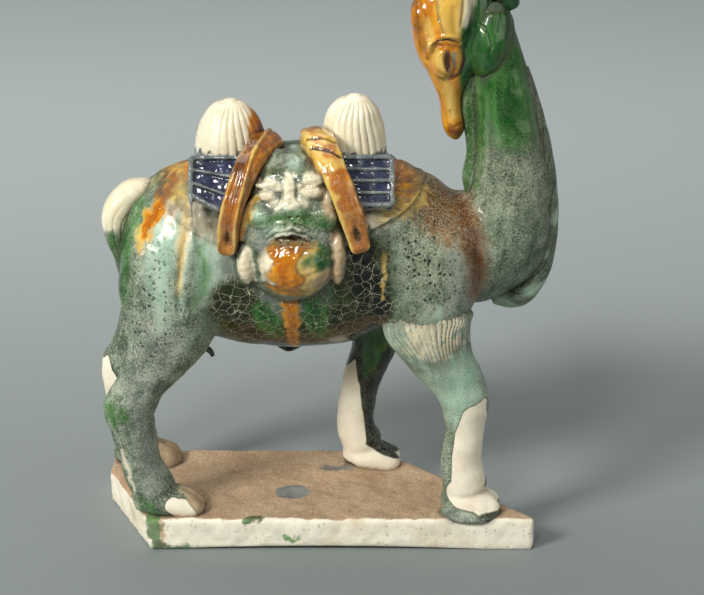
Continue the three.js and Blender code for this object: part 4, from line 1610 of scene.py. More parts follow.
@dataclass
class Fringe:
    """The tuft of long hair round the top of a foreleg, combed down into the leg."""

    name: str
    stations: Stations
    strands: int = 25

    def build(self) -> Skin:
        """A skirt of strands that thins out downwards.

        Returns:
            The piece.
        """

        def proud(t: Array, angle: Array) -> Array:
            """Slanting locks of uneven width and depth, their ends ragged at the top and lost below.

            Args:
                t: the place along the tube.
                angle: the angle round it.

            Returns:
                Millimetres that the surface stands out.
            """
            lean = angle + 0.12 * np.sin(4 * t + 2 * angle)
            uneven = self.strands * lean + 0.5 * np.sin(3 * lean + 1) + 0.35 * np.sin(7 * lean + 3 * t)
            strong = 0.75 + 0.25 * np.sin(5 * lean + 2)
            comb = 0.5 * strong * locks(2 * uneven, 2.0) * smoothstep(0.0, 0.2, t)
            comb = comb * (1 - 0.6 * smoothstep(0.6, 1.0, t))
            ragged = 0.7 * np.sin(8 * angle + 0.5) + 0.9 * np.sin(19 * angle)
            top = (0.6 * ragged - 1.4) * (1 - smoothstep(0.0, 0.34, t))
            return comb + top - 0.7 * smoothstep(0.7, 1.0, t)

        return Skin.of(self.name, tube(self.stations, 56, 280, proud=proud))

    def dress(self, skin: Skin, finishes: Finishes) -> None:
        """Cream on the crowns of the locks, dark in the grooves, mint below.

        Args:
            skin: the piece\'s mesh.
            finishes: the materials.
        """
        p = skin.points
        low, high = p[:, 2].min(), p[:, 2].max()
        share = (p[:, 2] - low) / (high - low)
        middle = bell(p[:, 0], p[:, 0].mean(), 9.6)
        crowns = 1.3 - 2.4 * skin.hollows(4, 0.2) + 0.6 * wander(p, 3.0, 8)
        cream = crowns * middle * smoothstep(0.2, 0.5, share) * (1 - smoothstep(0.82, 0.98, share))
        skin.lay({}, {
            Cover.CREAM: np.clip(2 * cream - 1, -1, 1),
            Cover.MINT: np.clip(0.9 - 1.4 * share, -1, 1),
            Cover.DEEP: np.clip(1.9 * skin.hollows(5, 0.35) - 1.5, -1, 0.1),
        })
        skin.weather(0.7, 0.0, 0.3)
        skin.finish(Node.CAMEL, finishes.body)


NEAR_FRINGE = Fringe(
    "near_fringe",
    (
        (34.4, -15.8, 72, 11.0, 8.4), (34.6, -16.8, 68, 14.3, 11.2), (35.2, -17.3, 64.2, 14.6, 11.4),
        (36.6, -17.8, 60, 12.9, 10.6), (38.8, -18.3, 55, 10.9, 9.1), (41.0, -18.5, 50.5, 9.3, 7.9),
    ),
)
FAR_FRINGE = Fringe(
    "far_fringe",
    (
        (29.2, 15.0, 72, 10.6, 8.8), (28.2, 15.9, 68, 13.6, 11.4), (26.6, 16.5, 63, 12.6, 11.0),
        (24.4, 17, 57.5, 10.9, 9.5), (22.0, 17.3, 52.5, 8.8, 7.9),
    ),
)


@dataclass
class Head:
    """The head, its muzzle held down, with crown tuft, ears, jaw tufts, brows and eyes."""

    pitch: float = 0.43
    skull: Stations = (
        (47, 0, 174, 4, 4), (45.6, 0, 170, 9.5, 7), (43.6, 0, 163.5, 14, 8.6), (42.4, 0, 156.5, 13.6, 9),
        (41.8, 0, 149, 11.2, 8.8), (41.5, 0, 142.5, 7.3, 7.6), (41.5, 0, 136.5, 4.2, 5.8),
        (41.9, 0, 131, 3.5, 4.8), (42.6, 0, 126.5, 3.5, 4.8), (43.3, 0, 123.6, 3, 4.6),
        (43.7, 0, 122, 1.7, 3.2),
    )
    crown: Stations = (
        (38, 0, 167, 4, 5), (43, 0, 172, 5.4, 7), (50, 0, 173.6, 5.6, 8), (57, 0, 170.4, 4.8, 7),
        (60.6, 0, 164.5, 2.6, 4.4),
    )
    ear: Stations = (
        (41, -7.6, 153.5, 2, 1.6), (41.2, -8.8, 157.5, 4, 2.3), (42.2, -9.8, 163, 4.8, 2.3),
        (43.2, -10.2, 168.5, 3.6, 1.9), (44, -10, 172.5, 1.8, 1.2),
    )
    jaw: Stations = (
        (54.5, -2, 162, 6, 6), (53.4, -3, 154, 7, 7.4), (52, -4, 147.5, 5.6, 6.6),
        (50.6, -4.5, 143.6, 2.4, 3.6),
    )
    brow: Stations = (
        (33.6, -6.2, 149.5, 1, 1), (35.6, -7.6, 154, 1.5, 1.6), (39.6, -8.8, 156.4, 1.7, 1.8),
        (43.6, -8.6, 155, 1.4, 1.5), (45.6, -7.8, 151.6, 0.8, 0.9),
    )
    eye: Place = (39.0, -8.2, 148.8)
    eye_half: Place = (3.7, 2.6, 5.6)
    eye_lean: float = 0.28
    forehead: Place = (32.4, -3.4, 161.5)
    forehead_half: Place = (3.8, 3.4, 5)

    def build(self) -> Skin:
        """One skin over the skull and everything on it.

        Returns:
            The piece.
        """
        paired = [
            tube(self.ear, 30, 28),
            tube(self.jaw, 30, 36),
            tube(self.brow, 30, 18),
            lump(self.eye, self.eye_half),
            lump(self.forehead, self.forehead_half),
        ]
        shells = [tube(self.skull, 80, 56), tube(self.crown, 40, 40)]
        for shell in paired:
            shells += [shell, shell.mirrored()]
        skin = Skin.over("camel_head", shells, self.pitch, 4)
        self.model(skin)
        return skin

    def model(self, skin: Skin) -> None:
        """Presses in the eyes, the ears' hollows, nostrils and mouth, and combs the tufts.

        Args:
            skin: the head's skin.
        """
        p = skin.points
        side = np.abs(p[:, 1])
        x, z = p[:, 0], p[:, 2]
        height = 0.08 * wander(p, 6.0, 21)
        ex, _, ez = self.eye
        u = (x - ex) + self.eye_lean * (z - ez)
        v = z - ez
        outward = smoothstep(5.5, 8.0, side)
        ring = np.hypot(u / 3.2, v / 4.9)
        height -= 0.8 * bell(ring, 1.0, 0.15) * outward
        pupil = np.hypot((u - 1.2) / 1.35, (v + 0.2) / 2.6)
        height -= 1.1 * (1 - smoothstep(0.5, 1.15, pupil)) * outward
        height += 0.4 * bell(pupil, 1.5, 0.3) * outward
        marks = (
            (((36.5, 168), (36.8, 164), (37.6, 160), (39.4, 156.8)), (0.7, 0.8, 0.8, 0.4), -0.55),
            (((47.4, 170), (47.6, 164), (46.8, 158), (45.6, 152)), (0.8, 0.9, 0.9, 0.5), -0.7),
            (((50, 160.5), (52.4, 158), (53.6, 154), (52.4, 149.5)), (0.7, 1.0, 1.1, 0.5), -0.75),
            (((48.4, 159), (49.4, 162.5), (49.6, 167)), (0.5, 0.7, 0.5), -0.45),
            (((51.2, 161), (52.8, 165), (53.4, 169)), (0.5, 0.7, 0.5), -0.45),
            (((55, 158), (56.6, 163), (57, 167)), (0.5, 0.7, 0.5), -0.4),
            (((39.6, 127.6), (42.6, 126.4), (45.4, 127.4)), (0.3, 0.5, 0.6), -0.4),
            (((42.2, 130), (41.4, 131.6)), 0.7, -0.5),
            (((41.6, 166), (41.8, 161), (42.4, 157.6)), (1.6, 1.9, 1.0), -0.5),
            (((35.0, 152.6), (36.8, 155.0), (40, 155.9), (43.8, 154.8)), (0.4, 0.8, 0.8, 0.5), -0.9),
            (((35.8, 155.0), (38, 157.0), (41, 157.3), (44.4, 156)), (0.6, 1.0, 1.0, 0.5), 0.6),
            (((45.0, 153.6), (45.8, 149), (44.6, 144.6), (41.6, 142.4)), (0.5, 0.8, 0.8, 0.4), -0.7),
            (((31.8, 166), (33.6, 162), (34.4, 158)), (0.6, 1.0, 0.5), -0.4),
            (((33.6, 157), (35.2, 150), (38, 142), (40.4, 134)), (0.9, 1.1, 1.0, 0.5), 0.5),
            (((44.6, 172), (44.6, 166), (43.8, 160)), (0.6, 0.9, 0.5), -0.7),
        )
        height = pressed(height, on_near_flank(p), marks, smoothstep(1.2, 3.4, side))
        top = smoothstep(168, 172, z) * smoothstep(44, 50, x)
        height += 0.4 * locks(2.2 * (x + 0.5 * p[:, 1])) * top
        skin.carve(height)

    def dress(self, skin: Skin, finishes: Finishes) -> None:
        """Amber over the face, straw-coloured ears, bright green jaws and a pale crown.

        Args:
            skin: the head's skin.
            finishes: the materials.
        """
        p = skin.points
        behind = p[:, 0] - (45.5 - 1.7 * smoothstep(135, 146, p[:, 2]) + 0.4 * wander(p, 7.0, 31))
        strokes = {
            Cover.CREAM: [
                (((41.4, 174), (41.6, 167), (41.4, 160)), (3.6, 2.6, 1.2), 2.2),
                (((46.6, 175), (46.6, 167), (45.8, 161)), (2.2, 1.8, 1.0), 2.0),
            ],
            Cover.STRAW: [
                (((41.0, 172), (40.4, 165), (41.0, 158)), (4.4, 3.8, 2.2), 2.4),
                # Painted highlights: pale lines along the ridge down the front of the face and along the
                # brow's crest.
                (((33.8, 161), (35.4, 154), (37.6, 147)), (0.6, 1.2, 0.8), 2.2),
                (((37.4, 155.6), (40, 156.8), (43, 156)), 0.5, 1.2),
                (((37.4, 151.6), (37.2, 147.6)), 0.8, 1.4),
                (((38, 150), (40, 140), (42, 130)), (1.5, 1.6, 1.0), 3.0),
            ],
            Cover.DEEP: [
                # Painted shade: this dark band runs down the back of the face and the muzzle, towards the
                # neck.
                (
                    ((47.2, 168), (46.8, 159), (47, 148), (47.8, 134), (48.8, 127)),
                    (0.8, 0.9, 1.8, 2.4, 1.6),
                    2.0,
                ),
                (((53.4, 158), (54.2, 154), (52.8, 149.6)), (0.8, 1.0, 0.6), 1.4),
                (((38.4, 172), (37, 167), (37.4, 161.4), (39.2, 157.4)), (0.35, 0.45, 0.45, 0.2), 0.6),
                (((44.6, 173), (44.6, 166), (43.8, 160)), 0.25, 1.0),
                (((48, 172), (48.4, 166), (47.8, 161)), 0.4, 0.7),
            ],
            Cover.RUST: [
                (((40.0, 151.6), (40.2, 149), (40.4, 146.2)), (0.9, 1.2, 0.9), 0.9),
                (((42, 125), (44, 124.4)), (1.8, 1.6), 2.4),
                # Painted shade: a dark line in the groove under the brow.
                (((35.4, 154), (37, 155.4), (40, 156), (43.4, 154.8)), 0.35, 0.8),
                (((44.0, 153.6), (45.0, 149), (43.8, 144.6), (40.8, 142.8)), (0.4, 0.7, 0.7, 0.4), 1.0),
                (((30.8, 166), (31.0, 159), (33.0, 151)), (0.6, 0.5, 0.1), 3.0),
            ],
            Cover.MIST: [
                (((50, 173), (56, 169), (59, 163)), 3.4, 4.0),
                (((42.2, 151), (42.4, 147.4)), (0.6, 0.5), 0.9),
            ],
        }
        skin.lay(strokes_of(strokes, BOTH), {Cover.LEAF: np.clip(behind / 1.6, -1, 1)}, 0.12)
        skin.weather(0.02 + 0.16 * smoothstep(0, 4, behind), 0.0, 0.0)
        skin.paint("shade", 0.45 * skin.hollows(16, 0.9))
        skin.finish(Node.CAMEL, finishes.head)


@dataclass
class Hump:
    """A hump combed into flutes that gather at its top."""

    name: str
    stations: Stations
    stained: bool
    plain: float
    flutes: float = 27.0

    def build(self) -> Skin:
        """A dome with flutes of uneven width.

        Returns:
            The piece.
        """

        def proud(t: Array, angle: Array) -> Array:
            """Upright grooves side by side on the flanks, shallow behind, fading at the ends and the top.

            Args:
                t: the place along the tube.
                angle: the angle round it.

            Returns:
                Millimetres that the surface stands out.
            """
            phase = self.flutes * np.cos(angle + 0.25) + 0.9 * np.sin(2 * angle + 4 * t) + 0.5 * np.sin(9 * t)
            depth = 0.55 + 0.25 * np.sin(5 * angle + 2) * np.sin(4 * t + angle)
            depth = depth * (1 - self.plain * smoothstep(0, 0.6, np.cos(angle)))
            flank = smoothstep(0.1, 0.5, np.abs(np.sin(angle)))
            soft = 0.3 * np.sin(3 * angle + 3 * t) * np.sin(5 * t + angle)
            return (depth * flank * locks(phase, 1.5) + soft) * (1 - smoothstep(0.62, 0.9, t))

        return Skin.of(self.name, tube(self.stations, 56, 240, proud=proud, caps=8, tip=0.3))

    def dress(self, skin: Skin, finishes: Finishes) -> None:
        """Cream, with amber where the bolster's glaze ran onto it and blue at the foot.

        Args:
            skin: the piece\'s mesh.
            finishes: the materials.
        """
        p = skin.points
        ragged = 1.3 * wander(p, 3.0, 41) + 0.8 * wander(p, 1.2, 42)
        foot = np.clip((119.0 - p[:, 2] + 0.7 * ragged) / 2.4, -1, 1)
        stains = {
            Cover.AMBER: [(((-20.6, 133), (-19.4, 127), (-19, 120)), (1.0, 2.6, 3.0), 1.8)],
            Cover.RUST: [(((-18.4, 130), (-17.6, 124)), (0.7, 1.4), 1.6)],
        }
        covers = strokes_of(stains, BOTH) if self.stained else {}
        shadow = np.clip(2.2 * skin.hollows(8, 0.4) - 1.2, -1, 0.1)
        skin.lay(covers, {Cover.BLUE: foot, Cover.MIST: np.maximum(shadow, foot - 0.5)})
        skin.weather(0.2, 0.0, 0.05)
        skin.finish(Node.CAMEL, finishes.hump)


REAR_HUMP = Hump(
    "rear_hump",
    (
        (-28.3, 0, 110, 12, 11.5), (-28.2, 0, 120, 11.3, 11), (-28.2, 0, 125.6, 10.0, 9.5),
        (-28.2, 0, 130, 7.9, 7.5), (-28.1, 0, 132.8, 5.2, 4.9), (-28.1, 0, 134.0, 2.2, 2.1),
    ),
    True,
    0.8,
)
FRONT_HUMP = Hump(
    "front_hump",
    (
        (11.5, 0, 110, 11, 11.5), (11.2, 0, 121, 10, 10.4), (11, 0, 127, 9.2, 9.2),
        (11.3, 0, 131.6, 7.6, 7.3), (11.5, 0, 134.4, 4.9, 4.7), (11.5, 0, 135.6, 2.1, 2.0),
    ),
    False,
    0.0,
)


@dataclass
class Blanket:
    """The saddle blanket: an oval sheet over the back with a pleated border."""

    torso: Stations
    centre: Pair = (-7.2, 116.0)
    half_length: float = 45.3
    drop: float = 26.0
    thickness: float = 1.5
    inner_lift: float = -2.0
    border: float = 5.0
    pleats: int = 60
    rows: int = 170
    across: tuple[int, int] = (240, 40)
    end: float = 0.985

    def section(self, x: Array) -> tuple[Array, Array, Array]:
        """The trunk's section at x.

        Args:
            x: where along the trunk.

        Returns:
            The height of its middle, its half height and its half width.
        """
        rows = np.array(self.torso, float)
        t = np.linspace(0, 1, 400)
        path, _ = spline(rows[:, :3], t)
        half, _ = spline(rows[:, 3:5], t)
        return tuple(np.interp(x, path[:, 0], column) for column in (path[:, 2], half[:, 0], half[:, 1]))

    def fall(self, x: Array) -> Array:
        """How far the oval hangs below its middle: less towards the chest."""
        return self.drop - 6.0 * smoothstep(0, 20, x)

    def build(self) -> Skin:
        """The sheet's outer and inner face, joined round its rim.

        At u along it and v across, x is the centre + half length times u, and the angle from the back's
        ridge is v times the angle where the oval's edge meets the flank there.

        Returns:
            The piece.
        """
        u = -np.cos(np.linspace(0.0, np.pi, self.rows)) * self.end
        x = self.centre[0] + self.half_length * u
        middle, tall, wide = self.section(x)
        edge = self.centre[1] - self.fall(x) * np.sqrt(1 - u**2)
        turn = np.arccos(np.clip((edge - middle) / tall, -1.0, self.end))
        rings = []
        for way, lift, count in zip((1, -1), (self.thickness, self.inner_lift), self.across):
            v = np.linspace(-1.0, 1.0, count)[::way]
            angle = turn[:, None] * v[None, :]
            grown = np.full_like(angle, lift)
            if way > 0:
                worn = (0.12 + 0.88 * smoothstep(-24, -6, x))[:, None]
                relief = self.relief(x[:, None], middle[:, None] + tall[:, None] * np.cos(angle))
                grown = worn * (grown + relief)
            rings.append(np.stack([
                np.broadcast_to(x[:, None], angle.shape),
                (wide[:, None] + grown) * np.sin(angle),
                middle[:, None] + (tall[:, None] + grown) * np.cos(angle),
            ], axis=-1))
        return Skin.of("saddle_blanket", rolled(np.concatenate(rings, axis=1)))

    def relief(self, x: Array, z: Array) -> Array:
        """The border's pleats and the groove inside it.

        Args:
            x: along the trunk.
            z: height.

        Returns:
            Millimetres above the sheet.
        """
        fall = self.fall(x)
        along, down = (x - self.centre[0]) / self.half_length, (z - self.centre[1]) / fall
        round_it = np.arctan2(down, along)
        inwards = (1 - np.hypot(down, along)) * fall
        in_border = smoothstep(0.0, 0.6, inwards) * (1 - smoothstep(self.border - 0.6, self.border, inwards))
        pleat = 0.75 * locks(self.pleats * round_it, 1.4) * in_border
        return pleat - 0.8 * bell(inwards, self.border, 0.55) + 0.5 * bell(inwards, 0.0, 0.7)

    def dress(self, skin: Skin, finishes: Finishes) -> None:
        """The flank's own glazes ran over it, and it is crackled in front.

        Args:
            skin: the piece\'s mesh.
            finishes: the materials.
        """
        p = skin.points
        front = smoothstep(5, 20, p[:, 0])
        grooves = np.clip(2.4 * skin.hollows(8, 0.5) - 1.2, -1, 0.3) * front - (1 - front)
        skin.lay(flank_glazes(), {Cover.OLIVE: grooves}, 0.5, 0.9)
        skin.weather(0.4 - 0.15 * front, 0.0, 0.5 * front)
        skin.finish(Node.CAMEL, finishes.body)


@dataclass
class PackBoard:
    """A board that leans against the flank, with slats round rows of sunk panels."""

    name: str
    front: float
    far: bool = False
    rear: float = -39.6
    lower: Pair = (-25.8, 107.0)
    upper: Pair = (-15.8, 119.4)
    thickness: float = 3.6
    groove: float = 1.1
    slats: int = 4
    taper: float = 3.4
    frame_half: float = 0.7
    slat_half: float = 0.42
    pitch: float = 0.3

    def directions(self) -> tuple[Array, Array, Array]:
        """How the board leans.

        Returns:
            Its middle, the way up its slope and the way out of its face.
        """
        up = np.array([0.0, self.upper[0] - self.lower[0], self.upper[1] - self.lower[1]])
        up /= np.linalg.norm(up)
        middle = np.array([0.0, (self.lower[0] + self.upper[0]) / 2, (self.lower[1] + self.upper[1]) / 2])
        return middle, up, np.array([0.0, -up[2], up[1]])

    def bar(self, span: Pair, low: Array, high: Array, face: Pair) -> Shell:
        """A bar of the board, its lower and upper edge each given at both ends.

        Args:
            span: x of its two ends.
            low: its lower edge, up the slope from the board's middle.
            high: its upper edge.
            face: its inner and outer face, outwards from the board's middle.

        Returns:
            The closed surface.
        """
        middle, up, out = self.directions()
        rings = []
        for x, a, b in zip(span, low, high):
            corners = ((a, face[0]), (b, face[0]), (b, face[1]), (a, face[1]))
            rings.append([middle + u * up + v * out + (x, 0, 0) for u, v in corners])
        return rolled(np.array(rings))

    def build(self) -> Skin:
        """The backing, the slats across it and the stiles at its ends, their edges rubbed round.

        Returns:
            The piece.
        """
        height = math.hypot(self.upper[0] - self.lower[0], self.upper[1] - self.lower[1])
        half = self.thickness / 2
        span = (self.rear, self.front)
        foot = -height / 2 + self.taper * np.array([1.0, 0.0])
        step = (height / 2 - foot) / self.slats
        shells = [self.bar(span, foot, np.full(2, height / 2), (-half, half - self.groove))]
        for i in range(self.slats + 1):
            line = foot + i * step
            wide = self.frame_half if i in (0, self.slats) else self.slat_half
            shells.append(self.bar(span, line - wide, line + wide, (-half, half - 0.15 * (i % 2))))
        for x in span:
            ends = (x - self.frame_half, x + self.frame_half)
            shells.append(self.bar(ends, foot, np.full(2, height / 2), (-half, half)))
        if self.far:
            shells = [shell.mirrored() for shell in shells]
        skin = Skin.over(self.name, shells, self.pitch, 5)
        skin.carve(0.14 * wander(skin.points, 6.0, 51) + 0.05 * wander(skin.points, 1.8, 52))
        return skin

    def dress(self, skin: Skin, finishes: Finishes) -> None:
        """Glossy cobalt in the panels, grey on the slats.

        Args:
            skin: the piece\'s mesh.
            finishes: the materials.
        """
        p = skin.points * (1, -1 if self.far else 1, 1)
        middle, _, out = self.directions()
        raised = (p - middle) @ out - (self.thickness / 2 - 0.55 * self.groove)
        skin.lay({}, {Cover.MIST: np.clip(raised / 0.4 + 0.6 * wander(p, 5.0, 61), -1, 1)})
        skin.weather(0.4 * smoothstep(-0.2, 0.3, raised) + 0.06, 0.0, 0.1)
        skin.finish(Node.CAMEL, finishes.board)


@dataclass
class Bolster:
    """A bolster laid over the back, its two ends hanging down the flanks."""

    name: str
    near_half: Stations
    folded: bool
    rings: int = 240
    around: int = 96
    caps: int = 10
    tip: float = 0.9

    def lines(self, t: Array, angle: Array) -> dict[str, Array]:
        """Where the ridges, creases and hollows of the roll lie.

        Across the outer face, s runs from 1 at the rear edge to -1 at the front edge. `end` is the
        distance along the roll from its nearer tip, as a share of its length.

        Args:
            t: the place along the roll.
            angle: the angle round it, half a turn on the outer face.

        Returns:
            A share from 0 to 1 for each kind of mark.
        """
        s = -np.sin(angle)
        end = np.minimum(t, 1 - t)
        outer = smoothstep(-0.1, 0.5, -np.cos(angle))

        def line(centre: object, half: float) -> Array:
            """A soft line along the roll at a given s."""
            return bell(s, centre, half) * outer

        narrow = 0.5 - 5.0 * np.clip(end - 0.038, 0, 0.06)
        drop = np.exp(-((s / narrow) ** 2) - (((end - 0.038) / 0.026) ** 2)) * outer
        if self.folded:
            ridge = line(-0.6 + 1.7 * np.clip(end - 0.05, 0, 0.3), 0.15) + line(0.76, 0.14)
            ribs = np.maximum(np.sin(22 * s), 0) * outer * smoothstep(0.1, 0.14, end)
            ribs = ribs * (1 - smoothstep(0.2, 0.26, end))
            crease = 0 * ridge
            trough = line(0.1, 0.5) * (1 - smoothstep(0.22, 0.36, end))
        else:
            ridge = line(0.78, 0.16) + 0.5 * line(-0.8, 0.13)
            ribs = 0 * ridge
            first = bell(end - 0.3125 - 0.021 * s, 0.0, 0.0052)
            second = bell(end - 0.271 - 0.029 * s, 0.0, 0.0058)
            crease = (first + second) * outer * (1 - smoothstep(0.7, 1.0, np.abs(s)))
            trough = line(0.0, 0.55) * (1 - smoothstep(0.2, 0.26, end))
        return {"ridge": ridge, "ribs": ribs, "crease": crease, "trough": trough, "drop": drop}

    def build(self) -> Skin:
        """A roll along the whole path, pressed and creased on its outer face.

        Returns:
            The piece.
        """
        far_half = [(x, -y, z, a, b) for x, y, z, a, b in self.near_half[-2::-1]]

        def proud(t: Array, angle: Array) -> Array:
            """Ridges stand out, troughs, creases and the drop-shaped hollows go in.

            Args:
                t: the place along the tube.
                angle: the angle round it.

            Returns:
                Millimetres that the surface stands out.
            """
            m = self.lines(t, angle)
            uneven = 0.14 * np.sin(31 * t + 2 * angle) * np.sin(13 * t - angle)
            out = 0.8 * m["ridge"] + 0.2 * m["ribs"]
            return out - 1.2 * m["crease"] - 0.5 * m["trough"] - 1.7 * m["drop"] + uneven

        path = (*self.near_half, *far_half)
        roll = tube(path, self.rings, self.around, (1, 0, 0), proud, self.caps, self.tip)
        skin = Skin.of(self.name, roll)
        skin.carve(0.12 * wander(skin.points, 7.0, 71) + 0.06 * wander(skin.points, 2.5, 72))
        skin.move(stoop(skin.points))
        return skin

    def dress(self, skin: Skin, finishes: Finishes) -> None:
        """Amber, straw on the ridges as thin glaze and painted highlight, red-brown in the creases and
        hollows, ochre on the flap.

        Args:
            skin: the piece\'s mesh.
            finishes: the materials.
        """
        p = skin.points
        order = np.r_[np.zeros(self.caps, int), np.arange(self.rings), np.full(self.caps, -1)]
        t = np.linspace(0, 1, self.rings)[order]
        angle = np.linspace(0, 2 * np.pi, self.around, endpoint=False)
        still = 0 * t[:, None]
        marks = self.lines(t[:, None], angle[None, :])
        m = {key: np.append((grid + still).ravel(), (0, 0)) for key, grid in marks.items()}
        across = np.append((still - np.sin(angle)[None, :]).ravel(), (0, 0))
        top = smoothstep(113, 121, p[:, 2])
        cloud = wander(p, 7.0, 75)
        # Straw on the raised ridges: partly glaze run thin, partly a painted highlight.
        if self.folded:
            straw = 1.6 * m["ridge"] - 1.1 + 0.35 * cloud
            brown = 1.0 * top * smoothstep(-0.3, 0.4, across) + 0.4 * wander(p, 6.0, 76) - 0.6
        else:
            straw = 1.5 * m["ridge"] - 0.9 + 0.6 * wander(p, 5.0, 77) + 1.2 * smoothstep(118, 122, p[:, 2])
            brown = 0.5 * wander(p, 7.0, 76) - 0.5 - 0.8 * smoothstep(106, 118, p[:, 2])
        dark = 2.2 * m["crease"] + 2.3 * m["drop"] - 1.0 + 0.2 * m["trough"]
        skin.lay({}, {
            Cover.RUST: np.clip(np.maximum(brown, dark) + 0.25 * m["trough"], -1, 1),
            Cover.STRAW: np.clip(straw, -1, 1),
            Cover.DEEP: np.clip(2.6 * m["crease"] - 2.0, -1, 0.3),
        })
        skin.weather(0.15, 0.0, 0.35 * (1 - top))
        skin.finish(Node.CAMEL, finishes.bolster)


REAR_BOLSTER = Bolster(
    "rear_bolster",
    (
        (-28.2, -28.4, 94.8, 3.3, 3.1), (-27.6, -28.6, 102, 3.9, 3.5), (-25.5, -27.4, 110, 4.1, 3.6),
        (-22.1, -24.2, 118, 4.2, 3.9), (-18.6, -16, 121, 4.3, 4.3), (-16.8, -8, 121.4, 4.2, 4.5),
        (-16.0, 0, 120.4, 4.1, 4.4),
    ),
    True,
)
FRONT_BOLSTER = Bolster(
    "front_bolster",
    (
        (13.0, -28.4, 95.4, 3.3, 3.2), (10.8, -28.4, 104, 3.9, 3.9), (7.4, -27.0, 112.5, 4.1, 4.1),
        (3.8, -22.6, 119.3, 4.4, 4.6), (0.4, -14, 122.8, 4.8, 5.2), (-0.8, -6, 122.2, 4.8, 5.2),
        (-1, 0, 121, 4.3, 4.6),
    ),
    False,
)


